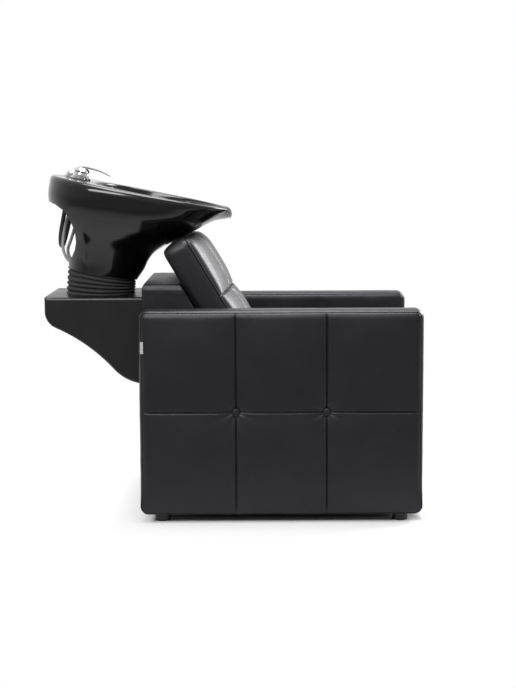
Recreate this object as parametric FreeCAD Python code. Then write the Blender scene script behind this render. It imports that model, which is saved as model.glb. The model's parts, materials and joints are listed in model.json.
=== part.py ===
import FreeCAD, Part
import math
import os

# Backwash unit: an upholstered armchair with a console, a tilting basin and its mixer.
# Millimetres. +X is the way the sitter faces, +Y the sitter's left, +Z up.
# The origin is on the floor, under the middle of the bounding box.

# Main sizes
overall_width = 700.0
arm_length = 858.0
console_overhang = 310.0
arm_top = 656.0
foot_height = 30.0

# Clearances
touch_gap = 0.4
shaft_clearance = 0.05
turning_gap = 0.3
basin_gap = 4.0
trim_gap = 0.6

# Arms
arm_thickness = 105.0
arm_corner_radius = 26.0
arm_edge_radius = 10.0
arm_border = 13.0
arm_swell = 8.0
arm_columns = 3
arm_rows = 2
row_rise = 1.8
arm_padding = 14.0
arm_rail = 55.0
arm_skin = 8.0
button_radius = 11.5
button_depth = 7.0
dimple_radius = 42.0
dimple_depth = 9.0

# Feet and fasteners
foot_radius = 25.0
foot_taper = 2.0
foot_inset = 62.0
foot_screw_radius = 4.0
foot_screw_length = 30.0
bolt_radius = 4.0
bolt_head_radius = 7.0
bolt_head_height = 5.0
arm_bolt_rise = 60.0
arm_bolt_drop = 175.0

# Seat
seat_height = 470.0
seat_boxing = 96.0
seat_crown = 30.0
seat_swell = 14.0
seat_setback = 10.0
board_thickness = 16.0
bearer_width = 30.0
bearer_height = 36.0
apron_thickness = 24.0
apron_swell = 6.0
apron_clearance = 14.0
front_rail_thickness = 26.0

# Backrest and the rear box behind it
recline = 30.5
rear_box_depth = 273.0
rear_box_rise = 53.0
rear_box_crown = 10.0
rear_box_radius = 22.0
rear_box_padding = 12.0
rear_box_bottom = 44.0
back_boxing = 90.0
back_crown = 44.0
back_swell = 16.0
back_rise = 96.8
back_foot_drop = 8.0

# Steel support inside the rear box and the console
post_width = 40.0
post_depth = 60.0
post_wall = 3.0
post_gap = 3.0
beam_height = 50.0
mount_plate_thickness = 8.0
mount_plate_length = 240.0

# Console
console_inset = 70.0
console_top = 681.0
console_wall = 5.0
console_rear_drop = 45.0
console_corner_radius = 56.0
console_corner_turn = 66.0
console_tail = 2.0
console_hump_turn = 24.0
console_sweep_radius = 142.0
console_sweep_turn = 43.0
console_edge_radius = 9.0
console_flange = 22.0
service_hole_radius = 56.0

# Tilt hinge
hinge_setback = 160.0
hinge_height = 39.0
basin_tilt = 11.2
ring_radius = 94.0
ring_thickness = 6.0
ear_inner_y = 58.0
ear_thickness = 8.0
ear_radius = 15.0
washer_thickness = 3.0
washer_radius = 13.0
pin_radius = 6.0
bush_wall = 2.0
pin_head = 5.0
nut_height = 8.0
hose_gap_half = 46.0

# Bellows
bellows_radius = 111.0
bellows_depth = 12.0
bellows_wall = 2.5
bellows_ribs = 4

# Basin, in its own frame with the hinge axis at zero and the rim level
rim_height = 308.0
base_height = 26.0
basin_rear = -212.0
basin_front = 373.0
basin_half_width = 250.0
rim_wall = 34.0
deck_length = 141.0
basin_wall = 14.0
base_wall = 36.0
deck_thickness = 18.0
bowl_floor = 104.0
floor_thickness = 20.0
neck_width = 176.0
neck_depth = 22.0
rim_radius = 6.0
band_height = 82.0
skirt_notch_x = -86.0
skirt_toe_height = 48.0
chamber_front_top = -90.0
chamber_front_low = -58.0

# Waste
drain_x = 30.0
drain_radius = 29.0
waste_flange_radius = 42.0
waste_flange_height = 5.0
waste_body_radius = 27.0
waste_bore = 22.0
waste_tail_height = 12.0
waste_hose_radius = 19.0
strainer_radius = 21.5
strainer_height = 3.0
waste_nut_radius = 38.0
waste_nut_height = 12.0

# Mixer
mixer_x = -122.0
mixer_flange_radius = 33.0
mixer_flange_height = 5.0
mixer_ball_height = 9.0
mixer_ball_radius = 27.0
lever_shell = 4.0
lever_cover_angle = 62.0
cartridge_radius = 14.0
cartridge_depth = 12.0
stem_radius = 4.0
lever_pin_radius = 2.0
lever_reach = 92.0
lever_width = 24.0
lever_thickness = 7.0
shank_radius = 16.0
shank_length = 34.0
gasket_thickness = 2.0
tail_spread = 15.0

# Hand shower
shower_x = -162.0
shower_y = 66.0
collar_radius = 21.0
collar_height = 5.0
collar_bore = 13.0
handset_radius = 12.5
handset_head_radius = 16.0
handset_head_height = 14.0
handset_length = 84.0

# Hoses and the service plate under the chair
hose_radius = 5.0
shower_hose_radius = 7.0
shower_loop = 192.0
service_x = 118.0
service_plate_z = 92.0
service_plate_thickness = 4.0
service_plate_depth = 110.0
inlet_radius = 10.48
inlet_length = 26.0
inlet_spread = 74.0
outlet_radius = 20.0
outlet_length = 42.0
spigot_shoulder = 2.0
hex_radius = 15.0
hex_height = 9.0

# Places worked out from the sizes
front_x = (arm_length + console_overhang) / 2
rear_x = front_x - arm_length
console_rear_x = rear_x - console_overhang
arm_inner = overall_width / 2 - arm_thickness
inner_half = arm_inner - touch_gap
slope = math.tan(math.radians(recline))
box_front_x = rear_x + rear_box_depth
seat_bottom = seat_height - seat_boxing - seat_crown
deck_bottom = seat_bottom - board_thickness
hinge_x = console_rear_x + hinge_setback
hinge_z = console_top + hinge_height
mixer_z = rim_height + gasket_thickness
ball_z = mixer_z + mixer_ball_height
service_place_x = rear_x + service_x
console_width = 2 * (arm_inner - console_inset)
post_spacing = console_width - 2 * (console_wall + console_flange + post_gap) - post_width
rear_box_top = console_top + rear_box_rise
back_foot = seat_height - back_foot_drop
back_length = (rear_box_top + back_rise - back_foot) / math.cos(math.radians(recline))

V = FreeCAD.Vector
X = V(1, 0, 0)
Y = V(0, 1, 0)
Z = V(0, 0, 1)


# Planes for outlines
def side_view(u, v):
    return V(u, 0, v)


def front_view(u, v):
    return V(0, u, v)


def top_view(u, v):
    return V(u, v, 0)


# An outline is a list of steps: a point for a line, a pair of points for an arc
def outline_face(plane, start, steps):
    edges = []
    here = start
    for step in steps + [start]:
        if isinstance(step[0], tuple):
            middle, end = step
            edges.append(Part.Arc(plane(*here), plane(*middle), plane(*end)).toShape())
        else:
            end = step
            if math.dist(here, end) < 1e-6:
                continue
            edges.append(Part.LineSegment(plane(*here), plane(*end)).toShape())
        here = end
    return Part.Face(Part.Wire(edges))


def slab(face, direction, low, high):
    return face.translated(direction * low).extrude(direction * (high - low))


def box(x0, x1, y0, y1, z0, z1):
    return Part.makeBox(x1 - x0, y1 - y0, z1 - z0, V(x0, y0, z0))


def rod(radius, start, end):
    along = end - start
    return Part.makeCylinder(radius, along.Length, start, along)


def tube(outer, inner, start, end):
    return rod(outer, start, end).cut(rod(inner, start, end))


def joined(shapes):
    whole = shapes[0].fuse(shapes[1:]) if len(shapes) > 1 else shapes[0]
    return whole.removeSplitter()


def mirrored(shape):
    return shape.mirror(V(0, 0, 0), Y)


# A polygon with its corners rounded
def rounded_steps(points, radii):
    corners = []
    count = len(points)
    for i, (corner, radius) in enumerate(zip(points, radii)):
        before, after = points[i - 1], points[(i + 1) % count]
        if radius <= 0:
            corners.append([corner])
            continue
        a = unit(corner, before)
        b = unit(corner, after)
        half = math.acos(a[0] * b[0] + a[1] * b[1]) / 2
        reach = radius / math.tan(half)
        bisector = unit((0, 0), (a[0] + b[0], a[1] + b[1]))
        inward = radius / math.sin(half) - radius
        start = (corner[0] + a[0] * reach, corner[1] + a[1] * reach)
        end = (corner[0] + b[0] * reach, corner[1] + b[1] * reach)
        middle = (corner[0] + bisector[0] * inward, corner[1] + bisector[1] * inward)
        corners.append([start, (middle, end)])
    steps = [step for corner in corners for step in corner]
    return steps[0], steps[1:]


def unit(a, b):
    length = math.dist(a, b)
    return ((b[0] - a[0]) / length, (b[1] - a[1]) / length)


def rounded_face(plane, points, radii):
    if not isinstance(radii, list):
        radii = [radii] * len(points)
    return outline_face(plane, *rounded_steps(points, radii))


# Arcs from one point to the next, each bulging by a swell to the left of its run
def swelled(points, swells):
    steps = []
    for (a, b), swell in zip(zip(points, points[1:]), swells):
        u = unit(a, b)
        middle = ((a[0] + b[0]) / 2 - u[1] * swell, (a[1] + b[1]) / 2 + u[0] * swell)
        steps.append((middle, b))
    return steps


# A path of straight runs and tangent arcs, swept with a round section
def hose(points, radius):
    edges = []
    here = points[0]
    length = 0.0
    for before, corner, after in zip(points, points[1:], points[2:]):
        a = (before - corner).normalize()
        b = (after - corner).normalize()
        half = a.getAngle(b) / 2
        turn = math.pi / 2 - half
        if turn < 1e-3:
            continue
        run = min((before - corner).Length, (after - corner).Length)
        bend = 0.45 * run / math.tan(turn)
        reach = bend * math.tan(turn)
        start = corner + a * reach
        end = corner + b * reach
        middle = corner + (a + b).normalize() * (bend / math.sin(half) - bend)
        edges.append(Part.LineSegment(here, start).toShape())
        edges.append(Part.Arc(start, middle, end).toShape())
        length += (start - here).Length + bend * 2 * turn
        here = end
    edges.append(Part.LineSegment(here, points[-1]).toShape())
    length += (points[-1] - here).Length
    path = Part.Wire(edges)
    ring = Part.makeCircle(radius, points[0], points[1] - points[0])
    solid = path.makePipeShell([Part.Wire([ring])], True, True)
    print("hose", round(length), "mm, volume ratio", round(solid.Volume / (length * math.pi * radius**2), 3))
    return solid


# Arms
def arm_outer():
    last = arm_thickness - arm_swell
    z0, z1 = foot_height, arm_top
    r = arm_edge_radius
    g = trim_gap
    corners = [(rear_x - g, z0 - g), (front_x + g, z0 - g), (front_x + g, z1 + g), (rear_x - g, z1 + g)]
    profile = slab(rounded_face(side_view, corners, arm_corner_radius + g), Y, -1, arm_thickness + 1)
    seams = [front_x - arm_border - (arm_length - 2 * arm_border) * i / arm_columns for i in range(arm_columns + 1)]
    plan = outline_face(
        top_view, (rear_x, r),
        [((rear_x + r * 0.293, r * 0.293), (rear_x + r, 0)), (front_x - r, 0)]
        + [((front_x - r * 0.293, r * 0.293), (front_x, r)), (front_x, last - r)]
        + [((front_x - r * 0.293, last - r * 0.293), (front_x - r, last)), (seams[0], last)]
        + swelled([(x, last) for x in seams], [-arm_swell] * arm_columns)
        + [(rear_x + r, last), ((rear_x + r * 0.293, last - r * 0.293), (rear_x, last - r))],
    )
    levels = [z1 - arm_border - (z1 - z0 - 2 * arm_border) * i / arm_rows for i in range(arm_rows + 1)]
    section = outline_face(
        front_view, (0, z0),
        [(0, z1 - r), ((r * 0.293, z1 - r * 0.293), (r, z1)), (last - r, z1)]
        + [((last - r * 0.293, z1 - r * 0.293), (last, z1 - r)), (last, levels[0])]
        + swelled([(last, z) for z in levels], [arm_swell + row_rise] * arm_rows)
        + [(last, z0 + r), ((last - r * 0.293, z0 + r * 0.293), (last - r, z0))],
    )
    body = profile.common(slab(plan, Z, 0, arm_top + 1)).common(slab(section, X, rear_x - 1, front_x + 1))
    for place in button_places():
        centre = place + V(0, dimple_radius - dimple_depth + arm_swell * 0.4, 0)
        body = body.cut(Part.makeSphere(dimple_radius, centre))
        base = button_base(place)
        body = body.cut(rod(button_radius + turning_gap, base, base + V(0, dimple_depth * 2, 0)))
    return body


def button_base(place):
    return place - V(0, dimple_depth + 2.0 - arm_swell * 0.4, 0)


def button_places():
    z = (foot_height + arm_top) / 2
    y = arm_thickness - arm_swell
    middle = (front_x + rear_x) / 2
    step = (arm_length - 2 * arm_border) / arm_columns
    return [V(middle + step * side / 2, y, z) for side in (-1, 1)]


def arm_cavity():
    y1 = arm_thickness - arm_swell - arm_padding
    return box(rear_x + arm_padding, front_x - arm_padding, arm_padding, y1, foot_height, arm_top - arm_padding)


def arm_frame():
    frame = arm_cavity()
    y1 = arm_thickness - arm_swell - arm_padding
    x0 = rear_x + arm_padding
    clear = (arm_length - 2 * arm_padding - arm_rail * (arm_columns + 1)) / arm_columns
    for i in range(arm_columns):
        start = x0 + arm_rail + i * (clear + arm_rail)
        frame = frame.cut(box(start, start + clear, 0, y1 - arm_skin, foot_height + arm_rail,
                              arm_top - arm_padding - arm_rail))
    for x in foot_places():
        frame = frame.cut(rod(foot_screw_radius + shaft_clearance, V(x, foot_y(), 0),
                              V(x, foot_y(), foot_height + foot_screw_length)))
    return frame


def foot_y():
    return (arm_thickness - arm_swell) / 2


def foot_places():
    return [rear_x + foot_inset, front_x - foot_inset]


def arm_cover():
    return arm_outer().cut(arm_cavity())


def arm_buttons():
    buttons = []
    for place in button_places():
        base = button_base(place)
        disc = rod(button_radius, base, base + V(0, button_depth, 0))
        far = [edge for edge in disc.Edges if abs(edge.CenterOfMass.y - base.y - button_depth) < 1e-6]
        disc = disc.makeFillet(button_depth * 0.6, far)
        buttons.append(disc)
    return Part.makeCompound(buttons)


def arm_place(shape, side):
    placed = shape.translated(V(0, arm_inner, 0))
    return placed if side > 0 else mirrored(placed)


# A foot is a turned plastic puck with a countersunk screw
def foot(x):
    y = foot_y()
    puck = Part.makeCone(foot_radius - foot_taper, foot_radius, foot_height, V(x, y, 0))
    hole = rod(foot_screw_radius + shaft_clearance, V(x, y, 0), V(x, y, foot_height))
    recess = rod(bolt_head_radius + 1, V(x, y, 0), V(x, y, foot_height * 0.4))
    return puck.cut(hole).cut(recess)


def foot_screw(x):
    y = foot_y()
    top = foot_height * 0.4
    head = rod(bolt_head_radius, V(x, y, top - bolt_head_height), V(x, y, top))
    shank = rod(foot_screw_radius, V(x, y, top), V(x, y, foot_height + foot_screw_length - 1))
    return joined([head, shank])


def on_each_arm(make):
    solids = []
    for x in foot_places():
        for side in (-1, 1):
            solids.append(arm_place(make(x), side))
    return Part.makeCompound(solids)


# Cushions swell between their seams, in columns and rows, and draw in at the sides
def cushion(length, width, boxing, crown, swell, columns, rows, end_radius):
    half = width / 2
    valley = boxing + crown - swell
    draw = 4.0
    g = trim_gap
    plan = drawn_in_outline(g, length - g, half - g, draw, end_radius)
    cross = cushion_profile(front_view, -half, half, boxing, valley, swell, columns, end_radius)
    along = cushion_profile(side_view, 0, length, boxing, valley - row_rise, swell + row_rise, rows, end_radius)
    top = boxing + crown + swell
    body = slab(plan, Z, -1, top).common(slab(cross, X, -1, length + 1))
    return body.common(slab(along, Y, -half - 1, half + 1))


# A rounded rectangle whose sides pull in between its corners
def drawn_in_outline(low, high, half, draw, r):
    k = r * 0.293
    steps = swelled([(low + r, -half), (high - r, -half)], [draw])
    steps += [((high - k, k - half), (high, r - half))]
    steps += swelled([(high, r - half), (high, half - r)], [draw])
    steps += [((high - k, half - k), (high - r, half))]
    steps += swelled([(high - r, half), (low + r, half)], [draw])
    steps += [((low + k, half - k), (low, half - r))]
    steps += swelled([(low, half - r), (low, r - half)], [draw])
    steps += [((low + k, k - half), (low + r, -half))]
    return outline_face(top_view, (low + r, -half), steps)


def cushion_profile(plane, low, high, boxing, valley, swell, count, radius):
    step = (high - low) / count
    points = [(high, boxing)]
    points += [(high - step * i, valley) for i in range(1, count)]
    points += [(low, boxing)]
    r = radius
    steps = [(high - r, 0), ((high - r * 0.293, r * 0.293), (high, r)), (high, boxing)]
    steps += swelled(points, [-swell] * count)
    steps += [(low, r), ((low + r * 0.293, r * 0.293), (low + r, 0))]
    return outline_face(plane, (low + r, 0), steps)


def seat_cushion():
    length = front_x - seat_setback - box_front_x - touch_gap
    pad = cushion(length, 2 * inner_half, seat_boxing, seat_crown, seat_swell, 3, 2, 10.0)
    return pad.translated(V(box_front_x + touch_gap, 0, seat_bottom))


def slope_x(z):
    return box_front_x + (seat_height - z) * slope


def backrest_cushion():
    pad = cushion(back_length, 2 * inner_half, back_boxing, back_crown, back_swell, 3, 2, 14.0)
    pad.rotate(V(0, 0, 0), Y, recline - 90)
    pad = pad.mirror(V(0, 0, 0), X)
    across = V(math.cos(math.radians(recline)), 0, math.sin(math.radians(recline)))
    base = V(slope_x(back_foot), 0, back_foot) + across * touch_gap
    pad = pad.translated(base)
    return pad.cut(basin_keepout())


# Room for the tilted basin over the top of the backrest
def basin_keepout():
    grown = basin_loft(-basin_gap, -1.0)
    return in_basin_place(grown)


# Seat carcass
def seat_deck():
    return box(box_front_x + touch_gap, front_x - seat_setback - apron_thickness, -inner_half, inner_half,
               deck_bottom, seat_bottom)


def seat_bearers():
    x1 = front_x - seat_setback - apron_thickness - front_rail_thickness
    bearer = box(box_front_x + touch_gap, x1, inner_half - bearer_width, inner_half,
                 deck_bottom - bearer_height, deck_bottom)
    return Part.makeCompound([bearer, mirrored(bearer)])


def front_rail():
    x1 = front_x - seat_setback - apron_thickness
    return box(x1 - front_rail_thickness, x1, -inner_half, inner_half, foot_height + apron_clearance, deck_bottom)


def front_apron():
    x0 = front_x - seat_setback - apron_thickness
    x1 = front_x - seat_setback - apron_swell
    z0, z1 = foot_height + apron_clearance, seat_bottom
    step = 2 * inner_half / arm_columns
    seams = [(x1, -inner_half + step * i) for i in range(arm_columns + 1)]
    plan = outline_face(top_view, (x0, -inner_half),
                        [seams[0]] + swelled(seams, [-apron_swell] * arm_columns) + [(x0, inner_half)])
    section = outline_face(side_view, (x0, z0),
                           [(x1, z0)] + swelled([(x1, z0), (x1, z1)], [-apron_swell - row_rise]) + [(x0, z1)])
    return slab(plan, Z, z0, z1).common(slab(section, Y, -inner_half, inner_half))


# Rear box: a padded cover over plywood panels
def box_profile(inset):
    lean = inset / math.cos(math.radians(recline))
    top = rear_box_top - inset
    return [
        (rear_x + inset, rear_box_bottom),
        (rear_x + inset, top),
        (slope_x(top) - lean, top),
        (slope_x(seat_height) - lean, seat_height),
        (box_front_x - lean, rear_box_bottom),
    ]


def rear_box_cover():
    face = rounded_face(side_view, box_profile(0), [0, rear_box_radius, 8.0, 0, 0])
    body = slab(face, Y, -inner_half, inner_half)
    crown = outline_face(
        front_view, (-inner_half, 0),
        [(-inner_half, rear_box_top - rear_box_crown)]
        + swelled([(-inner_half, rear_box_top - rear_box_crown), (inner_half, rear_box_top - rear_box_crown)],
                  [rear_box_crown])
        + [(inner_half, 0)],
    )
    body = body.common(slab(crown, X, rear_x, box_front_x))
    inner = slab(outline_face(side_view, box_hollow()[0], box_hollow()[1:]), Y, -panel_y(0), panel_y(0))
    below_seat = box(box_front_x - rear_box_padding * 2, box_front_x + 1, -inner_half - 1, inner_half + 1,
                     0, seat_height - board_thickness)
    return joined([body.cut(inner).cut(below_seat).cut(service_window(rear_x - 1, rear_x + rear_box_padding + 1))])


def box_hollow():
    points = box_profile(rear_box_padding)
    points[1] = (points[1][0], points[1][1] - rear_box_crown)
    points[2] = (slope_x(points[1][1]) - rear_box_padding / math.cos(math.radians(recline)), points[1][1])
    return points


def panel_y(depth):
    return inner_half - rear_box_padding - depth


def service_window(x0, x1):
    half = post_spacing / 2 + post_width / 2 + 4
    top = console_top - console_wall - 6
    return box(x0, x1, -half, half, console_top - console_drop() + 40, top)


def rear_box_sides():
    points = box_hollow()
    panel = slab(outline_face(side_view, points[0], points[1:]), Y, panel_y(board_thickness), panel_y(0))
    for x, z in arm_bolt_places():
        panel = panel.cut(rod(bolt_radius + shaft_clearance, V(x, 0, z), V(x, overall_width, z)))
    return Part.makeCompound([panel, mirrored(panel)])


def rear_panel():
    x0 = rear_x + rear_box_padding
    half = panel_y(board_thickness)
    top = box_hollow()[1][1]
    panel = box(x0, x0 + board_thickness, -half, half, rear_box_bottom, top)
    panel = panel.cut(service_window(x0 - 1, x0 + board_thickness + 1))
    for y, z in console_screw_places():
        panel = panel.cut(rod(bolt_radius + shaft_clearance, V(x0 - 1, y, z), V(x0 + board_thickness + 1, y, z)))
    return panel


def rear_box_rail():
    points = box_hollow()
    x0 = rear_x + rear_box_padding + board_thickness
    x1 = points[2][0] - board_thickness / math.cos(math.radians(recline))
    half = panel_y(board_thickness)
    return box(x0, x1, -half, half, points[1][1] - board_thickness, points[1][1])


def backrest_board():
    points = box_hollow()
    lean = board_thickness / math.cos(math.radians(recline))
    top, foot = points[2], points[3]
    face = outline_face(side_view, top, [foot, (foot[0] - lean, foot[1]), (top[0] - lean, top[1])])
    return slab(face, Y, -panel_y(board_thickness), panel_y(board_thickness))


def arm_bolt_places():
    x = rear_x + arm_padding + arm_rail / 2
    return [(x, foot_height + arm_rail + arm_bolt_rise), (x, arm_top - arm_bolt_drop)]


def arm_bolts():
    start = panel_y(board_thickness)
    end = arm_inner + arm_padding + arm_rail * 0.7
    bolts = []
    for x, z in arm_bolt_places():
        head = rod(bolt_head_radius, V(x, start - bolt_head_height, z), V(x, start, z))
        bolt = joined([head, rod(bolt_radius, V(x, start, z), V(x, end, z))])
        bolts += [bolt, mirrored(bolt)]
    return Part.makeCompound(bolts)


def arm_bolt_holes():
    end = arm_inner + arm_padding + arm_rail * 0.7 + 1
    holes = [rod(bolt_radius + shaft_clearance, V(x, 0, z), V(x, end, z)) for x, z in arm_bolt_places()]
    return Part.makeCompound(holes + [mirrored(hole) for hole in holes])


# Steel support
def post_x():
    return rear_x + rear_box_padding + board_thickness


def support_posts():
    x0 = post_x()
    y = post_spacing / 2 - post_width / 2
    top = cantilever_top()
    post = box(x0, x0 + post_depth, y, y + post_width, rear_box_bottom + beam_height, top)
    hollow = box(x0 + post_wall, x0 + post_depth - post_wall, y + post_wall, y + post_width - post_wall,
                 rear_box_bottom, top - post_wall)
    post = post.cut(hollow)
    return Part.makeCompound([post, mirrored(post)])


def cantilever_top():
    return console_top - console_wall - mount_plate_thickness


def cantilever_arms():
    y = post_spacing / 2 - post_width / 2
    top = cantilever_top()
    x0 = console_rear_x + console_corner_radius
    arm = box(x0, post_x(), y, y + post_width, top - post_depth, top)
    hollow = box(x0 - 1, post_x() + 1, y + post_wall, y + post_width - post_wall,
                 top - post_depth + post_wall, top - post_wall)
    arm = arm.cut(hollow)
    return Part.makeCompound([arm, mirrored(arm)])


def support_beam():
    x0 = post_x()
    half = panel_y(board_thickness)
    z0 = rear_box_bottom
    beam = box(x0, x0 + post_depth, -half, half, z0, z0 + beam_height)
    hollow = box(x0 + post_wall, x0 + post_depth - post_wall, -half - 1, half + 1,
                 z0 + post_wall, z0 + beam_height - post_wall)
    return beam.cut(hollow)


def mount_plate():
    half = post_spacing / 2 + post_width / 2
    z0 = cantilever_top()
    plate = box(hinge_x - mount_plate_length / 2 + 10, hinge_x + mount_plate_length / 2, -half, half,
                z0, z0 + mount_plate_thickness)
    plate = plate.cut(rod(service_hole_radius, V(hinge_x, 0, z0 - 1), V(hinge_x, 0, console_top)))
    return plate.cut(base_bolt_holes())


# The hump takes the length that the corner and the sweep leave it
def console_hump_radius():
    first = math.radians(90 - console_corner_turn)
    second = first + math.radians(console_hump_turn)
    last = second - math.radians(console_sweep_turn)
    corner = console_corner_radius * (1 - math.sin(first))
    sweep = console_sweep_radius * (math.sin(second) - math.sin(last))
    return (console_overhang - console_tail - corner - sweep) / (math.sin(second) - math.sin(first))


# Console shell, a moulding that is open towards the chair
def console_steps(inset):
    heading = -math.pi / 2
    here = (console_rear_x + inset, console_top - console_rear_drop)
    steps = [here]
    bends = [
        (console_corner_radius - inset, console_corner_turn),
        (console_hump_radius() + inset, -console_hump_turn),
        (console_sweep_radius - inset, console_sweep_turn),
    ]
    for radius, turn in bends:
        sign = math.copysign(1, turn)
        to_centre = heading + sign * math.pi / 2
        centre = (here[0] + radius * math.cos(to_centre), here[1] + radius * math.sin(to_centre))
        ends = []
        for part in (0.5, 1.0):
            angle = to_centre + math.pi + math.radians(turn) * part
            ends.append((centre[0] + radius * math.cos(angle), centre[1] + radius * math.sin(angle)))
        steps.append((ends[0], ends[1]))
        here = ends[1]
        heading += math.radians(turn)
    return steps, here, heading


def console_drop():
    steps, here, heading = console_steps(0)
    return console_top - here[1] - (rear_x - here[0]) * math.tan(heading)


def console_body(inset, half, beyond):
    steps, here, heading = console_steps(inset)
    end_x = rear_x + beyond
    last = (end_x, here[1] + (end_x - here[0]) * math.tan(heading))
    top = console_top - inset
    rear = console_rear_x + inset
    face = outline_face(side_view, (rear, top), steps + [last, (end_x, top)])
    return slab(face, Y, -half, half)


def console_shell():
    half = console_width / 2
    outer = console_body(0, half, 0)
    rims = [e for e in outer.Edges if abs(abs(e.CenterOfMass.y) - half) < 1e-3 and e.BoundBox.XMin < rear_x - 1]
    outer = outer.makeFillet(console_edge_radius, rims)
    shell = outer.cut(console_body(console_wall, half - console_wall, 1))
    inner = half - console_wall
    low = console_top - console_drop() + console_wall + console_edge_radius
    tab = box(rear_x - console_wall, rear_x, inner - console_flange, inner, low, console_top - console_wall)
    shell = joined([shell, tab, mirrored(tab)])
    shell = shell.cut(rod(service_hole_radius, V(hinge_x, 0, console_top - 20), V(hinge_x, 0, console_top + 1)))
    for y, z in console_screw_places():
        shell = shell.cut(rod(bolt_radius + shaft_clearance, V(rear_x - 20, y, z), V(rear_x + 1, y, z)))
    return shell.cut(base_bolt_holes())


def console_screw_places():
    y = console_width / 2 - console_wall - console_flange / 2
    z = [console_top - console_drop() * part for part in (0.22, 0.8)]
    return [(side * y, level) for side in (-1, 1) for level in z]


def console_screws():
    screws = []
    start = rear_x - console_wall
    for y, z in console_screw_places():
        head = rod(bolt_head_radius, V(start - bolt_head_height, y, z), V(start, y, z))
        shank = rod(bolt_radius, V(start, y, z), V(rear_x + rear_box_padding + board_thickness, y, z))
        screws.append(joined([head, shank]))
    return Part.makeCompound(screws)


def console_screw_holes():
    return Part.makeCompound([
        rod(bolt_radius + shaft_clearance, V(rear_x - 1, y, z), V(rear_x + rear_box_padding + 1, y, z))
        for y, z in console_screw_places()
    ])


# Tilt hinge: everything about the hinge axis, in the basin's own frame or the console's
def in_basin_place(shape):
    placed = shape.copy()
    placed.rotate(V(0, 0, 0), Y, basin_tilt)
    return placed.translated(V(hinge_x, 0, hinge_z))


def basin_point(x, y, z):
    a = math.radians(basin_tilt)
    return V(hinge_x + x * math.cos(a) + z * math.sin(a), y, hinge_z - x * math.sin(a) + z * math.cos(a))


def ear(y0, y1, z0, z1, hole):
    plate = box(-ear_radius, ear_radius, y0, y1, min(z0, z1), max(z0, z1))
    eye = rod(ear_radius, V(0, y0, 0), V(0, y1, 0))
    return joined([plate, eye]).cut(rod(hole, V(0, y0 - 1, 0), V(0, y1 + 1, 0)))


def bolt_circle():
    reach = (ring_radius + base_inner()) / 2 * math.sqrt(0.5)
    return [(sx * reach, sy * reach) for sx in (-1, 1) for sy in (-1, 1)]


def base_inner():
    return ring_radius - 16.0


def tilt_base():
    low = -hinge_height
    ring = tube(ring_radius, service_hole_radius, V(0, 0, low), V(0, 0, low + ring_thickness))
    left = ear(ear_inner_y, ear_inner_y + ear_thickness, low + ring_thickness, 0, pin_radius + bush_wall)
    plate = joined([ring, left, mirrored(left)])
    return plate.translated(V(hinge_x, 0, hinge_z)).cut(base_bolt_holes())


def base_bolt_holes():
    low = cantilever_top() - 1
    holes = []
    for x, y in bolt_circle():
        centre = V(hinge_x + x, y, 0)
        holes.append(rod(bolt_radius + shaft_clearance, centre + Z * low, centre + Z * (console_top + 20)))
    return Part.makeCompound(holes)


def base_bolts():
    top = console_top + ring_thickness
    bolts = []
    for x, y in bolt_circle():
        place = V(hinge_x + x, y, 0)
        head = rod(bolt_head_radius, place + Z * top, place + Z * (top + bolt_head_height))
        bolts.append(joined([head, rod(bolt_radius, place + Z * cantilever_top(), place + Z * top)]))
    return Part.makeCompound(bolts)


def tilt_bushes():
    bush = tube(pin_radius + bush_wall, pin_radius + shaft_clearance, V(0, ear_inner_y, 0),
                V(0, ear_inner_y + ear_thickness, 0))
    bush = bush.translated(V(hinge_x, 0, hinge_z))
    return Part.makeCompound([bush, mirrored(bush)])


def yoke_ear_y():
    return ear_inner_y + ear_thickness + washer_thickness


def friction_washers():
    y = ear_inner_y + ear_thickness
    washer = tube(washer_radius, pin_radius + shaft_clearance, V(0, y + shaft_clearance, 0),
                  V(0, yoke_ear_y(), 0))
    washer = in_basin_place(washer)
    return Part.makeCompound([washer, mirrored(washer)])


def tilt_yoke():
    ring = rod(ring_radius, V(0, 0, base_height - ring_thickness), V(0, 0, base_height))
    ring = ring.cut(rod(service_hole_radius + 4, V(0, 0, 0), V(0, 0, base_height + 1)))
    ring = ring.cut(box(-ring_radius - 1, 0, -hose_gap_half, hose_gap_half, 0, base_height + 1))
    left = ear(yoke_ear_y(), yoke_ear_y() + ear_thickness, 0, base_height - ring_thickness, pin_radius)
    plate = joined([ring, left, mirrored(left)])
    for x, y in bolt_circle():
        plate = plate.cut(rod(bolt_radius + shaft_clearance, V(x, y, 0), V(x, y, base_height + 1)))
    return in_basin_place(plate)


def yoke_bolts():
    low = base_height - ring_thickness
    bolts = []
    for x, y in bolt_circle():
        head = rod(bolt_head_radius, V(x, y, low - bolt_head_height), V(x, y, low))
        bolts.append(joined([head, rod(bolt_radius, V(x, y, low), V(x, y, base_height + 14))]))
    return in_basin_place(Part.makeCompound(bolts))


def tilt_pins():
    y0 = ear_inner_y - pin_head
    y1 = yoke_ear_y() + ear_thickness + nut_height
    head = rod(pin_radius + 4, V(0, y0, 0), V(0, ear_inner_y - shaft_clearance, 0))
    pin = joined([head, rod(pin_radius, V(0, y0, 0), V(0, y1, 0))])
    pin = in_basin_place(pin)
    return Part.makeCompound([pin, mirrored(pin)])


def clamp_nuts():
    y0 = yoke_ear_y() + ear_thickness
    points = [((pin_radius + 4) * math.cos(math.pi / 3 * i), (pin_radius + 4) * math.sin(math.pi / 3 * i))
              for i in range(6)]
    nut = slab(outline_face(side_view, points[0], points[1:]), Y, y0, y0 + nut_height)
    nut = nut.cut(rod(pin_radius, V(0, y0 - 1, 0), V(0, y0 + nut_height + 1, 0)))
    nut = in_basin_place(nut)
    return Part.makeCompound([nut, mirrored(nut)])


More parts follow.
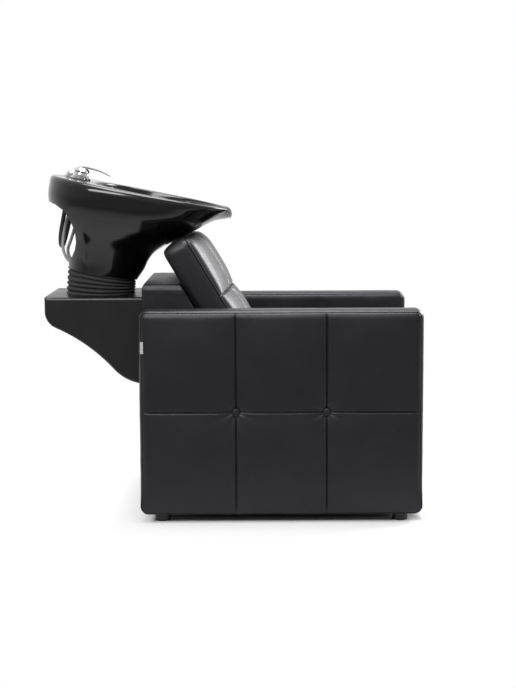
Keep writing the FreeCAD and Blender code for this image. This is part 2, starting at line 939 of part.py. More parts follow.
# Bellows: four rings per rib, fanned from the console's level to the basin's tilt
def bellows_ring(radius, part):
    low = V(hinge_x, 0, console_top)
    high = basin_point(0, 0, base_height)
    centre = low + (high - low) * part
    lean = math.radians(basin_tilt) * part
    return Part.Wire([Part.makeCircle(radius, centre, V(math.sin(lean), 0, math.cos(lean)))])


def bellows():
    step = 1.0 / (bellows_ribs + 0.25)
    rings = [(bellows_radius, 0.0), (bellows_radius, step * 0.25)]
    for i in range(bellows_ribs):
        base = step * (0.25 + i)
        rings.append((bellows_radius - bellows_depth, base + step * 0.4))
        rings.append((bellows_radius, base + step))
    outer = Part.makeLoft([bellows_ring(r, p) for r, p in rings], True, True)
    inner = Part.makeLoft([bellows_ring(r - bellows_wall, p) for r, p in rings], True, True)
    return outer.cut(inner)


# Basin: sections of one moulded body, from its round foot to its long rim
def basin_sections():
    length = rim_height - base_height
    rear = basin_rear
    front = basin_front
    half = basin_half_width
    foot = bellows_radius
    table = [
        (0.00, -foot, foot + 4, foot, 2.0),
        (0.13, -foot - 10, foot + 20, foot + 8, 2.0),
        (0.25, -foot - 25, foot + 30, foot + 20, 2.05),
        (0.35, -foot - 40, foot + 46, foot + 36, 2.1),
        (0.48, rear * 0.82, front * 0.53, half * 0.74, 2.2),
        (0.61, rear * 0.91, front * 0.66, half * 0.86, 2.3),
        (0.77, rear * 0.98, front * 0.81, half * 0.955, 2.4),
        (0.91, rear, front * 0.94, half * 0.995, 2.5),
        (1.00, rear, front, half, 2.5),
    ]
    return [(base_height + length * part, a, b, c, n) for part, a, b, c, n in table]


def bowl_sections():
    length = rim_height - bowl_floor
    rear = basin_rear + deck_length
    front = basin_front - rim_wall
    half = basin_half_width - rim_wall
    low = drain_x
    table = [
        (0.000, low - 46, low + 50, 52.0, 2.0),
        (0.055, low - 62, low + 74, 86.0, 2.0),
        (0.175, low - 74, front * 0.40, half * 0.55, 2.05),
        (0.345, low - 84, front * 0.54, half * 0.70, 2.1),
        (0.515, rear * 0.84, front * 0.68, half * 0.82, 2.2),
        (0.709, rear * 0.92, front * 0.81, half * 0.91, 2.3),
        (0.879, rear * 0.98, front * 0.93, half * 0.97, 2.4),
        (1.000, rear, front, half, 2.5),
    ]
    return [(bowl_floor + length * part, a, b, c, n) for part, a, b, c, n in table]


# A plan outline between a rear and a front, wider behind than before
def egg(z, rear, front, half, square):
    count = 16
    points = []
    for i in range(count):
        t = 2 * math.pi * i / count
        c, s = math.cos(t), math.sin(t)
        x = (rear + front) / 2 + (front - rear) / 2 * math.copysign(abs(c) ** (2 / square), c)
        y = half * math.copysign(abs(s) ** (2 / square), s) * (1 - 0.08 * c)
        points.append(V(x, y, z))
    curve = Part.BSplineCurve()
    curve.interpolate(Points=points, PeriodicFlag=True, Parameters=[i / count for i in range(count + 1)])
    return Part.Wire([curve.toShape()])


def loft(sections):
    return Part.makeLoft([egg(*section) for section in sections], True, False)


def basin_loft(wall, foot_wall):
    grown = []
    for i, (z, rear, front, half, square) in enumerate(basin_sections()):
        w = foot_wall if i == 0 else wall
        grown.append((z, rear + w, front - w, half - w, square))
    return loft(grown)


def bowl_hollow():
    sections = bowl_sections()
    z, rear, front, half, square = sections[-1]
    lip = [(z + 30.0, rear, front, half, square)]
    return joined([loft(sections), slab(Part.Face(egg(*sections[-1])), Z, 0, lip[0][0] - z)])


# The chamber's wall runs straight between a few of the basin's sections
def service_chamber():
    levels = basin_sections()
    levels = [levels[0], levels[3], levels[5], levels[7], levels[8]]
    walls = [base_wall] + [basin_wall] * 4
    inner = Part.makeLoft([egg(z, rear + w, front - w, half - w, square)
                           for (z, rear, front, half, square), w in zip(levels, walls)], True, True)
    far = basin_rear * 2
    roof = rim_height - deck_thickness
    ceiling = bowl_floor - floor_thickness
    region = outline_face(side_view, (far, base_height - 1), [
        (-far, base_height - 1), (-far, ceiling), (chamber_front_low, ceiling), (chamber_front_top, roof),
        (far, roof),
    ])
    return inner.common(slab(region, Y, far, -far))


def skirt_notch():
    far = basin_rear * 2
    top = rim_height - band_height
    low = skirt_toe_height
    rise = top - low
    deep = skirt_notch_x
    face = outline_face(side_view, (far, low), [
        (deep - 24, low),
        ((deep - 5, low + rise * 0.16), (deep, low + rise * 0.38)),
        ((deep - 28, low + rise * 0.82), (deep - 84, top)),
        (far, top),
    ])
    return slab(face, Y, far, -far)


def neck_recess():
    half = neck_width / 2
    radius = (half**2 + neck_depth**2) / (2 * neck_depth)
    centre = rim_height - neck_depth + radius
    return rod(radius, V(basin_front * 0.6, 0, centre), V(basin_front + 20, 0, centre))


def basin():
    bowl = loft(basin_sections()).cut(bowl_hollow())
    bowl = bowl.cut(neck_recess())
    bowl = bowl.cut(service_chamber())
    bowl = bowl.cut(skirt_notch())
    bowl = bowl.cut(box(basin_rear, -base_inner() / 2, -hose_gap_half, hose_gap_half, 0, skirt_toe_height + 12))
    bowl = bowl.cut(rod(drain_radius, V(drain_x, 0, 0), V(drain_x, 0, bowl_floor + 20)))
    bowl = bowl.cut(rod(shank_radius + 1, V(mixer_x, 0, rim_height - 60), V(mixer_x, 0, rim_height + 1)))
    bowl = bowl.cut(rod(collar_bore + 3, V(shower_x, shower_y, rim_height - 60),
                        V(shower_x, shower_y, rim_height + 1)))
    for x, y in bolt_circle():
        bowl = bowl.cut(rod(bolt_radius + shaft_clearance, V(x, y, 0), V(x, y, base_height + 15)))
    solids = sorted(bowl.Solids, key=lambda solid: solid.Volume)
    return in_basin_place(solids[-1])


# Waste: a flange on the bowl floor, its nut, a lift-out strainer and a hose to the floor
def waste_flange():
    top = bowl_floor + waste_flange_height
    rim = rod(waste_flange_radius, V(drain_x, 0, bowl_floor), V(drain_x, 0, top))
    low = bowl_floor - floor_thickness - waste_nut_height - waste_tail_height
    body = rod(waste_body_radius, V(drain_x, 0, low), V(drain_x, 0, bowl_floor))
    whole = joined([rim, body])
    whole = whole.cut(rod(waste_bore, V(drain_x, 0, low - 1), V(drain_x, 0, top + 1)))
    seat = waste_flange_height - 1.0
    return in_basin_place(whole.cut(rod(strainer_radius + 6, V(drain_x, 0, top - seat), V(drain_x, 0, top + 1))))


def strainer():
    top = bowl_floor + waste_flange_height
    low = top - waste_flange_height + 1.0
    disc = rod(strainer_radius + 5, V(drain_x, 0, low), V(drain_x, 0, low + strainer_height))
    for count, reach in ((1, 0.0), (6, 0.38), (10, 0.78)):
        for i in range(count):
            a = 2 * math.pi * i / count
            x = drain_x + strainer_radius * reach * math.cos(a)
            y = strainer_radius * reach * math.sin(a)
            disc = disc.cut(rod(2.4, V(x, y, low - 1), V(x, y, low + strainer_height + 1)))
    return in_basin_place(disc)


def waste_nut():
    top = bowl_floor - floor_thickness
    nut = tube(waste_nut_radius, waste_body_radius + shaft_clearance, V(drain_x, 0, top - waste_nut_height),
               V(drain_x, 0, top))
    return in_basin_place(nut)


def waste_hose():
    low = bowl_floor - floor_thickness - waste_nut_height - waste_tail_height
    start = basin_point(drain_x, 0, low)
    lower = basin_point(drain_x, 0, low - 50)
    bend_z = console_top - 128
    end_z = service_plate_z + service_plate_thickness + hex_height
    return hose([
        start, lower, V(lower.x - 4, 0, console_top - 70), V(lower.x + 46, 0, bend_z),
        V(rear_x + 40, 0, bend_z - 14), V(service_place_x, 0, bend_z - 84),
        V(service_place_x, 0, end_z),
    ], waste_hose_radius)


def waste_outlet():
    return connector(0, outlet_radius, outlet_radius + 6, outlet_length, outlet_radius - 3)


# A connector hangs through the service plate, with a collar on top of it
def connector(y, radius, collar, length, bore):
    x = service_place_x
    top = service_plate_z + service_plate_thickness
    body = rod(radius, V(x, y, service_plate_z - length), V(x, y, service_plate_z))
    shoulder = rod(radius + spigot_shoulder, V(x, y, service_plate_z), V(x, y, top))
    ring = rod(collar, V(x, y, top), V(x, y, top + hex_height))
    whole = joined([body, shoulder, ring])
    return whole.cut(rod(bore, V(x, y, 0), V(x, y, top + hex_height * 0.6)))


def inlet(side):
    return connector(side * inlet_spread, inlet_radius, hex_radius, inlet_length, inlet_radius - 3)


def service_plate():
    z0 = service_plate_z
    x0 = post_x() + post_depth
    plate = box(x0, x0 + service_plate_depth, -inlet_spread - 36, inlet_spread + 36,
                z0, z0 + service_plate_thickness)
    lip = box(x0, x0 + service_plate_thickness, -inlet_spread - 36, inlet_spread + 36,
              z0 - beam_height * 0.7, z0)
    plate = joined([plate, lip])
    places = [(0, outlet_radius), (inlet_spread, inlet_radius), (-inlet_spread, inlet_radius)]
    for y, radius in places:
        plate = plate.cut(rod(radius + spigot_shoulder + shaft_clearance, V(service_place_x, y, z0 - 1),
                              V(service_place_x, y, z0 + service_plate_thickness + 1)))
    return plate


# Mixer: a flanged ball body with a cartridge in it, and a lever whose shell rides on the ball
def mixer_body():
    flange = rod(mixer_flange_radius, V(mixer_x, 0, mixer_z), V(mixer_x, 0, mixer_z + mixer_flange_height))
    ball = Part.makeSphere(mixer_ball_radius, V(mixer_x, 0, ball_z))
    ball = ball.common(box(mixer_x - 60, mixer_x + 60, -60, 60, mixer_z, ball_z + mixer_ball_radius))
    shank = rod(shank_radius, V(mixer_x, 0, mixer_z - shank_length), V(mixer_x, 0, mixer_z))
    body = joined([flange, ball, shank])
    bore = rod(cartridge_radius + shaft_clearance, V(mixer_x, 0, ball_z - cartridge_depth),
               V(mixer_x, 0, ball_z + mixer_ball_radius + 1))
    return in_basin_place(body.cut(bore))


def mixer_cartridge():
    low = ball_z - cartridge_depth
    top = ball_z + 6
    core = rod(cartridge_radius, V(mixer_x, 0, low), V(mixer_x, 0, top))
    slot = box(mixer_x - 30, mixer_x + 30, -stem_radius - turning_gap, stem_radius + turning_gap,
               ball_z - stem_radius - 2, top + 1)
    core = core.cut(slot)
    core = core.cut(rod(lever_pin_radius, V(mixer_x, -30, ball_z), V(mixer_x, 30, ball_z)))
    return in_basin_place(core)


def lever_pin():
    reach = cartridge_radius - 1
    return in_basin_place(rod(lever_pin_radius, V(mixer_x, -reach, ball_z), V(mixer_x, reach, ball_z)))


def mixer_lever():
    inner = mixer_ball_radius + turning_gap
    outer = inner + lever_shell
    centre = V(mixer_x, 0, ball_z)
    low = outer * math.cos(math.radians(lever_cover_angle))
    shell = Part.makeSphere(outer, centre)
    shell = shell.common(box(mixer_x - 60, mixer_x + 60, -60, 60, ball_z + low, ball_z + outer + 1))
    root = (mixer_x, ball_z + outer - lever_thickness)
    tip = (mixer_x + lever_reach, root[1] - 9.0)
    blade = outline_face(side_view, root, [
        ((mixer_x + lever_reach * 0.5, root[1] + 1.0), tip),
        (tip[0] + 2, tip[1] + 2.5),
        ((mixer_x + lever_reach * 0.5, root[1] + lever_thickness - 1.0), (root[0], root[1] + lever_thickness)),
    ])
    blade = slab(blade, Y, -lever_width / 2, lever_width / 2)
    plan = rounded_face(top_view, [
        (mixer_x, -lever_width / 2), (mixer_x + lever_reach + 2, -lever_width * 0.36),
        (mixer_x + lever_reach + 2, lever_width * 0.36), (mixer_x, lever_width / 2),
    ], [0, lever_width * 0.3, lever_width * 0.3, 0])
    blade = blade.common(slab(plan, Z, ball_z - 40, ball_z + 80))
    handle = shell.fuse(blade).cut(Part.makeSphere(inner, centre))
    stem = box(mixer_x - stem_radius, mixer_x + stem_radius, -stem_radius, stem_radius,
               ball_z - stem_radius, ball_z + inner + 1)
    handle = joined([handle, stem])
    handle = handle.cut(rod(lever_pin_radius + shaft_clearance, V(mixer_x, -30, ball_z), V(mixer_x, 30, ball_z)))
    return in_basin_place(handle)


def mixer_gasket():
    ring = tube(mixer_flange_radius - 1, shank_radius + shaft_clearance, V(mixer_x, 0, rim_height), V(mixer_x, 0, mixer_z))
    return in_basin_place(ring)


def mixer_nut():
    top = rim_height - deck_thickness
    points = [(mixer_x + (shank_radius + 8) * math.cos(math.pi / 3 * i), (shank_radius + 8) * math.sin(math.pi / 3 * i))
              for i in range(6)]
    nut = slab(outline_face(top_view, points[0], points[1:]), Z, top - 8, top)
    return in_basin_place(nut.cut(rod(shank_radius + shaft_clearance, V(mixer_x, 0, 0), V(mixer_x, 0, rim_height))))


# Hand shower in its deck collar
def shower_collar():
    top = rim_height + collar_height
    flange = rod(collar_radius, V(shower_x, shower_y, rim_height), V(shower_x, shower_y, top))
    sleeve = rod(collar_bore + 2.5, V(shower_x, shower_y, rim_height - deck_thickness - 10),
                 V(shower_x, shower_y, rim_height))
    whole = joined([flange, sleeve])
    return in_basin_place(whole.cut(rod(collar_bore, V(shower_x, shower_y, 0), V(shower_x, shower_y, top + 1))))


def hand_shower():
    rest = rim_height + collar_height
    place = V(shower_x, shower_y, 0)
    low = rest - handset_length
    handle = Part.makeCone(handset_radius - 4, handset_radius, handset_length, place + Z * low)
    head = rod(handset_head_radius, place + Z * rest, place + Z * (rest + handset_head_height))
    top = [e for e in head.Edges if abs(e.CenterOfMass.z - rest - handset_head_height) < 1e-6]
    head = head.makeFillet(handset_head_height * 0.5, top)
    return in_basin_place(joined([handle, head]))


# Hoses: mixer tails to the inlets, and the shower's own loop
def tail_start(y):
    return mixer_x, y, mixer_z - shank_length


def supply_hose(side, loop):
    x, y, z = tail_start(side * tail_spread / 2)
    x += tail_spread / 3
    far_y = side * inlet_spread
    mouth_x = -base_inner() - hose_radius - 4
    end_z = service_plate_z + service_plate_thickness + hex_height
    points = [basin_point(x, y, z), basin_point(x, y, z - 30)]
    points += [basin_point(px, side * py, pz) for px, py, pz in loop]
    points += [basin_point(mouth_x, side * 14, base_height + 2)]
    points += [
        V(hinge_x - 32, side * 24, console_top - 6),
        V(hinge_x - 22, side * 34, console_top - 60),
        V(hinge_x + 40, side * 56, console_top - 104),
        V(rear_x + 20, side * 60, console_top - 128),
        V(service_place_x - 20, side * (inlet_spread - 4), console_top - 190),
        V(service_place_x, far_y, console_top - 270),
        V(service_place_x, far_y, end_z),
    ]
    return hose(points, hose_radius)


def hot_hose():
    return supply_hose(1, [(-112, 12, 176), (-118, 14, 116), (-128, 15, 66)])


def cold_hose():
    return supply_hose(-1, [(-148, 19, 196), (-154, 19, 122), (-144, 16, 62)])


def shower_hose():
    x, y, z = tail_start(0)
    low = rim_height + collar_height - handset_length
    x -= tail_spread * 0.6
    loop = z - shower_loop
    places = [
        (x, 0, z), (x, 0, z - 36), (x - 11, 9, z - 96), (x - 17, 15, loop + 34), (x - 20, 30, loop),
        (shower_x + 4, shower_y - 14, loop), (shower_x, shower_y - 2, loop + 34),
        (shower_x, shower_y, low - 46), (shower_x, shower_y, low),
    ]
    return hose([basin_point(*place) for place in places], shower_hose_radius)


# Upholstery with the bolt holes through it
def bolted_arm_cover(side):
    return arm_place(arm_cover(), side).cut(arm_bolt_holes())


def bolted_arm_frame(side):
    return arm_place(arm_frame(), side).cut(arm_bolt_holes())


def write(name, shape):
    shape.exportStep("parts/" + name + ".step")
    print(name, len(shape.Solids), "solids", shape.isValid(), round(shape.Volume / 1000), "cm3")


def main():
    os.makedirs("parts", exist_ok=True)
    for name, side in (("right", -1), ("left", 1)):
        write(name + "_arm_frame", bolted_arm_frame(side))
        write(name + "_arm_cover", bolted_arm_cover(side))
        write(name + "_arm_buttons", arm_place(arm_buttons(), side))
    write("feet", on_each_arm(foot))
    write("foot_screws", on_each_arm(foot_screw))
    write("front_rail", front_rail())
    write("front_apron", front_apron())
    write("seat_deck", seat_deck())
    write("seat_bearers", seat_bearers())
    write("seat_cushion", seat_cushion())
    write("backrest_board", backrest_board())
    write("backrest_cushion", backrest_cushion())
    write("rear_box_sides", rear_box_sides())
    write("rear_panel", rear_panel())
    write("rear_box_rail", rear_box_rail())
    write("rear_box_cover", rear_box_cover().cut(arm_bolt_holes()).cut(console_screw_holes()))
    write("arm_bolts", arm_bolts())
    write("support_posts", support_posts())
    write("support_beam", support_beam())
    write("cantilever_arms", cantilever_arms())
    write("mount_plate", mount_plate())
    write("console_shell", console_shell())
    write("console_screws", console_screws())
    write("tilt_base", tilt_base())
    write("base_bolts", base_bolts())
    write("tilt_bushes", tilt_bushes())
    write("friction_washers", friction_washers())
    write("tilt_yoke", tilt_yoke())
    write("yoke_bolts", yoke_bolts())
    write("tilt_pins", tilt_pins())
    write("clamp_nuts", clamp_nuts())
    write("bellows", bellows())
    write("basin", basin())
    write("waste_flange", waste_flange())
    write("strainer", strainer())
    write("waste_nut", waste_nut())
    write("waste_hose", waste_hose())
    write("waste_outlet", waste_outlet())
    write("hot_inlet", inlet(1))
    write("cold_inlet", inlet(-1))
    write("service_plate", service_plate())
    write("mixer_body", mixer_body())
    write("mixer_cartridge", mixer_cartridge())
    write("lever_pin", lever_pin())
    write("mixer_lever", mixer_lever())
    write("mixer_gasket", mixer_gasket())
    write("mixer_nut", mixer_nut())
    write("shower_collar", shower_collar())
    write("hand_shower", hand_shower())
    write("hot_hose", hot_hose())
    write("cold_hose", cold_hose())
    write("shower_hose", shower_hose())


main()
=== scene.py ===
import json
import math

import bmesh
import bpy
from mathutils import Matrix, Vector, noise


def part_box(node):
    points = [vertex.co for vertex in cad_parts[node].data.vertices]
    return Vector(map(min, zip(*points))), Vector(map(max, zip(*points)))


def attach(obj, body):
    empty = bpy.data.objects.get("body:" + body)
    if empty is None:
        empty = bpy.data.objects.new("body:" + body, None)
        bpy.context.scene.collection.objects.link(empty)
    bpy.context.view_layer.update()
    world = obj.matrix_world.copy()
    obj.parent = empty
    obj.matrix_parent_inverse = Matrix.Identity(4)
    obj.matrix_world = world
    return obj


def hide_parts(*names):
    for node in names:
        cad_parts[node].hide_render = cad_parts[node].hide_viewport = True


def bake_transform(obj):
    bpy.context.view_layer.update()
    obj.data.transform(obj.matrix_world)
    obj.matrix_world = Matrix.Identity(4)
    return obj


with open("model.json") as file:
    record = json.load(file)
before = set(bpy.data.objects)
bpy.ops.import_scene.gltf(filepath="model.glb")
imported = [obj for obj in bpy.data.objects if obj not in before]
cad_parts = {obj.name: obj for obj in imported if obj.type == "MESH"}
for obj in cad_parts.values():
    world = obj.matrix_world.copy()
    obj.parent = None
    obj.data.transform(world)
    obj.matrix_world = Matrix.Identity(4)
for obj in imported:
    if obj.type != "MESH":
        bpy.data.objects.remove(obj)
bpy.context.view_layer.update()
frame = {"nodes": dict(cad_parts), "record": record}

bl_info = {
    "name": "Backwash Unit",
    "version": (1, 0, 0),
    "blender": (4, 5, 0),
    "location": "View3D > Sidebar > Backwash",
    "description": "Dresses a salon backwash unit: padding, basin, bellows, hoses and finishes",
    "category": "Object",
}

MM = 0.001
NODES = frame["nodes"]
MERGE = 1e-5  # points closer than this become one
MOST_CUTS = 90


# ---------------------------------------------------------------- settings


def length_setting(name, description, metres):
    return bpy.props.FloatProperty(name=name, description=description, default=metres, unit="LENGTH")


def colour_setting(name, description, hex_code):
    return bpy.props.StringProperty(name=name, description=description, default=hex_code)


class BackwashPadding(bpy.types.PropertyGroup):
    arm_edge: length_setting("Arm edge", "Roundness of an arm's outer edge", 0.026)
    arm_corner: length_setting("Arm corner", "Roundness of an arm's corners, seen from the side", 0.026)
    arm_swell: length_setting("Arm swell", "How far an arm's panel stands above its seams", 0.008)
    proud: length_setting("Proud", "How far an arm's ends swell beyond the frame", 0.005)
    seam_depth: length_setting("Seam depth", "How far thread pulls a seam in", 0.0065)
    seam_width: length_setting("Seam width", "Half width of a seam's groove", 0.0021)
    pucker: length_setting("Pucker", "Height of the small pulls along a seam", 0.0011)
    pleat: length_setting("Pleat", "Height of the folds that run out from a button", 0.0024)
    wrinkle: length_setting("Wrinkle", "Height of the broad waves in the cover", 0.0012)
    dimple: length_setting("Dimple", "How deep a button is pulled in", 0.009)
    pressure: bpy.props.FloatProperty(
        name="Pressure", description="Push of the foam on the cover from inside", default=4.0)
    frames: bpy.props.IntProperty(name="Frames", description="Steps in which a cover settles", default=20)
    most: length_setting("Most", "How far a point of the cover may settle", 0.006)
    button: length_setting("Button", "Radius of a covered button", 0.0115)


class BackwashBasin(bpy.types.PropertyGroup):
    rim: length_setting("Rim", "Roundness of the rim's outer edge, seen from above", 0.015)
    shoulder: length_setting("Shoulder", "Height over which the rim rolls over", 0.028)
    lip: length_setting("Lip", "Roundness of the rim's edge into the bowl", 0.006)
    wall: length_setting("Wall", "Thickness of the glazed wall", 0.009)
    neck_width: length_setting("Neck width", "Width of the hollow for the neck", 0.176)
    neck_depth: length_setting("Neck depth", "Depth of the hollow for the neck", 0.022)
    ribs: bpy.props.IntProperty(name="Ribs", description="Folds of the bellows", default=5)
    rib_depth: length_setting("Rib depth", "Depth of a fold of the bellows", 0.009)


class BackwashColours(bpy.types.PropertyGroup):
    cover: colour_setting("Cover", "Black coated fabric", "#101013")
    glaze: colour_setting("Glaze", "Black glaze of the basin", "#070708")
    console: colour_setting("Console", "Moulded console", "#0E0E10")
    rubber: colour_setting("Rubber", "Bellows and gasket", "#141415")
    chrome: colour_setting("Chrome", "Plated brass", "#DADBDD")
    hose: colour_setting("Hose", "Grey supply hoses", "#9B9C9E")
    foot: colour_setting("Feet", "Moulded feet", "#161618")
    ply: colour_setting("Plywood", "Frame boards", "#B5936A")
    floor: colour_setting("Floor", "Studio floor", "#CFCFCF")


# ---------------------------------------------------------------- small tools


def padding():
    return bpy.context.scene.backwash_padding


def basin_settings():
    return bpy.context.scene.backwash_basin


def colours():
    return bpy.context.scene.backwash_colours


def clear_selection():
    if bpy.context.mode != "OBJECT":
        bpy.ops.object.mode_set(mode="OBJECT")
    bpy.ops.object.select_all(action="DESELECT")


def named(name):
    piece = bpy.context.active_object
    piece.name = name
    piece.data.name = name
    return piece


def make_active(piece):
    clear_selection()
    piece.select_set(True)
    bpy.context.view_layer.objects.active = piece


def split_edges(piece, axis, parts):
    """Cuts a block into equal strips across one axis, by subdividing the edges that run along it.
    The operator makes up to a hundred cuts, so many strips are cut in two rounds."""
    for share in ([2, parts // 2] if parts > MOST_CUTS and parts % 2 == 0 else [parts]):
        bpy.ops.object.mode_set(mode="EDIT")
        bpy.ops.mesh.select_mode(type="EDGE")
        bpy.ops.mesh.select_all(action="DESELECT")
        mesh = bmesh.from_edit_mesh(piece.data)
        for edge in mesh.edges:
            along = edge.verts[1].co - edge.verts[0].co
            edge.select_set(abs(along[axis]) > 0.5 * along.length)
        bmesh.update_edit_mesh(piece.data)
        bpy.ops.mesh.subdivide(number_cuts=share - 1)
        bpy.ops.object.mode_set(mode="OBJECT")


def apply_modifier(piece, name):
    make_active(piece)
    bpy.ops.object.modifier_apply(modifier=name)


def open_for_edit(piece):
    make_active(piece)
    bpy.ops.object.mode_set(mode="EDIT")
    bpy.ops.mesh.select_all(action="SELECT")


def close_edit():
    """Turns all faces outward and leaves edit mode."""
    bpy.ops.mesh.select_all(action="SELECT")
    bpy.ops.mesh.normals_make_consistent(inside=False)
    bpy.ops.object.mode_set(mode="OBJECT")


def tidy_mesh(piece, distance=MERGE):
    open_for_edit(piece)
    if distance:
        bpy.ops.mesh.remove_doubles(threshold=distance)
    close_edit()


def wrapped_grid(name, around, rows, spot_at):
    """A grid closed into a tube. spot_at gives the place for a turn in radians and the number of a row."""
    clear_selection()
    bpy.ops.mesh.primitive_grid_add(x_subdivisions=around, y_subdivisions=rows, size=1.0)
    piece = named(name)
    for vertex in piece.data.vertices:
        i, j = round((vertex.co.x + 0.5) * around), round((vertex.co.y + 0.5) * rows)
        vertex.co = spot_at(2 * math.pi * i / around, j)
    tidy_mesh(piece)
    return piece


def thicken(piece, thickness):
    """Gives a skin a wall that lies inside it."""
    wall = piece.modifiers.new("wall", "SOLIDIFY")
    wall.thickness, wall.offset, wall.use_even_offset = thickness, -1.0, False
    apply_modifier(piece, "wall")


def smooth(piece, degrees=None):
    make_active(piece)
    if degrees is None:
        bpy.ops.object.shade_smooth()
    else:
        bpy.ops.object.shade_smooth_by_angle(angle=math.radians(degrees))


def dress(piece, material, body, nodes=()):
    piece.data.materials.clear()
    piece.data.materials.append(material)
    if body is not None:
        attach(piece, body)
    if nodes:
        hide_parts(*nodes)


def smoothstep(low, high, value):
    t = min(1.0, max(0.0, (value - low) / (high - low)))
    return t * t * (3 - 2 * t)


def between(a, b, t):
    return a + (b - a) * t


# ---------------------------------------------------------------- materials


def linear(hex_code):
    """sRGB hex to linear RGBA."""
    parts = [int(hex_code[i:i + 2], 16) / 255 for i in (1, 3, 5)]
    return [p / 12.92 if p <= 0.04045 else ((p + 0.055) / 1.055) ** 2.4 for p in parts] + [1.0]


def shade(hex_code, factor):
    return [min(1.0, p * factor) for p in linear(hex_code)[:3]] + [1.0]


def add(tree, kind, settings=None, **links):
    """Adds a node, sets its fields and sockets, and links named inputs to other nodes' outputs."""
    made = tree.nodes.new(kind)
    for key, value in (settings or {}).items():
        if isinstance(key, str) and hasattr(made, key) and key not in made.inputs:
            setattr(made, key, value)
        else:
            made.inputs[key].default_value = value
    for key, source in links.items():
        name = key.replace("_", " ")
        socket = made.inputs[int(key[1:])] if key[0] == "i" and key[1:].isdigit() else made.inputs[name]
        tree.links.new(source, socket)
    return made


def calc(tree, operation, *terms):
    """The result of a sum on numbers and other nodes' outputs."""
    made = add(tree, "ShaderNodeMath", {"operation": operation})
    for socket, term in zip(made.inputs, terms):
        if isinstance(term, (int, float)):
            socket.default_value = term
        else:
            tree.links.new(term, socket)
    return made.outputs[0]


def graded(tree, source, start, end, low=0.0, high=1.0):
    """A value that goes from low to high as the source goes from start to end."""
    limits = {"From Min": start, "From Max": end, "To Min": low, "To Max": high}
    return add(tree, "ShaderNodeMapRange", limits, Value=source).outputs["Result"]


def mottle(tree, place, size_mm, detail, **more):
    """Noise with features of about this size."""
    settings = {"Scale": 1 / (size_mm * MM), "Detail": detail, **more}
    return add(tree, "ShaderNodeTexNoise", settings, Vector=place).outputs["Fac"]


def relief(tree, height, strength, depth_mm, **links):
    settings = {"Strength": strength, "Distance": depth_mm * MM}
    return add(tree, "ShaderNodeBump", settings, Height=height, **links).outputs["Normal"]


def wire(tree, surface, **sources):
    """Links the surface's inputs, whose names are written with _ for a space."""
    for key, source in sources.items():
        tree.links.new(source, surface.inputs[key.replace("_", " ")])


def parts_of(tree, place):
    return add(tree, "ShaderNodeSeparateXYZ", Vector=place).outputs


def ramp(tree, source, stops):
    """A colour from the stops, each a place from 0 to 1 and a colour."""
    made = add(tree, "ShaderNodeValToRGB", Fac=source)
    while len(made.color_ramp.elements) < len(stops):
        made.color_ramp.elements.new(0.5)
    for element, (place, colour) in zip(made.color_ramp.elements, stops):
        element.position = place
        element.color = colour
    return made.outputs["Color"]


def mottled(tree, source, base, dark, light, start=0.3, end=0.7):
    """The base colour, darker where the source is low and lighter where it is high."""
    return ramp(tree, source, [(start, shade(base, dark)), (end, shade(base, light))])


def start_material(name):
    found = bpy.data.materials.get(name)
    if found:
        return found, None, None, None
    material = bpy.data.materials.new(name)
    material.use_nodes = True
    tree = material.node_tree
    tree.nodes.clear()
    output = add(tree, "ShaderNodeOutputMaterial")
    surface = add(tree, "ShaderNodeBsdfPrincipled")
    tree.links.new(surface.outputs["BSDF"], output.inputs["Surface"])
    place = add(tree, "ShaderNodeTexCoord").outputs["Object"]
    return material, tree, surface, place


def coated_fabric():
    """Black polyurethane-coated fabric: a calendered skin with a fine pebble grain and a soft satin gloss."""
    material, tree, surface, place = start_material("coated_fabric")
    if tree is None:
        return material
    # Tone drifts over a hand's breadth, where the skin is stretched over the foam
    tone = mottled(tree, mottle(tree, place, 90, 4.0), colours().cover, 0.8, 1.25)
    # The real pebble is under a millimetre; it is drawn at 2.4 mm so that it shows
    pebble = add(tree, "ShaderNodeTexVoronoi", {"Scale": 1 / (2.4 * MM), "feature": "SMOOTH_F1"}, Vector=place)
    creases = mottle(tree, place, 7, 6.0, Roughness=0.65)
    height = calc(tree, "MULTIPLY_ADD", pebble.outputs["Distance"], 0.6, creases)
    wire(tree, surface, Base_Color=tone, Roughness=graded(tree, creases, 0.3, 0.7, 0.38, 0.50),
         Normal=relief(tree, height, 0.16, 0.7))
    surface.inputs["IOR"].default_value = 1.46
    surface.inputs["Specular Tint"].default_value = linear("#FBF9FF")
    return material


def black_glaze():
    """Black glazed ceramic: a fired glass skin that flowed level, mirror bright, with a faint pull."""
    material, tree, surface, place = start_material("black_glaze")
    if tree is None:
        return material
    pool = mottle(tree, place, 60, 2.0)
    ripple = mottle(tree, place, 35, 1.0)
    wire(tree, surface, Base_Color=mottled(tree, pool, colours().glaze, 0.8, 1.5, 0.35, 0.75),
         Roughness=graded(tree, pool, 0.3, 0.7, 0.10, 0.16), Normal=relief(tree, ripple, 0.05, 1.0))
    surface.inputs["IOR"].default_value = 1.52
    return material


def moulded(name, base, rough, grain_mm, depth_mm, ior=1.5):
    """A moulded plastic or rubber skin: fine spark texture from the tool, with slow changes of tone."""
    material, tree, surface, place = start_material(name)
    if tree is None:
        return material
    drift = mottle(tree, place, 80, 3.0)
    edge = add(tree, "ShaderNodeBevel", {"samples": 6, "Radius": 2.5 * MM}).outputs["Normal"]
    wire(tree, surface, Base_Color=mottled(tree, drift, base, 0.85, 1.15),
         Roughness=graded(tree, drift, 0.3, 0.7, rough * 0.88, rough * 1.12),
         Normal=relief(tree, mottle(tree, place, grain_mm, 3.0), 0.12, depth_mm, Normal=edge))
    surface.inputs["IOR"].default_value = ior
    return material


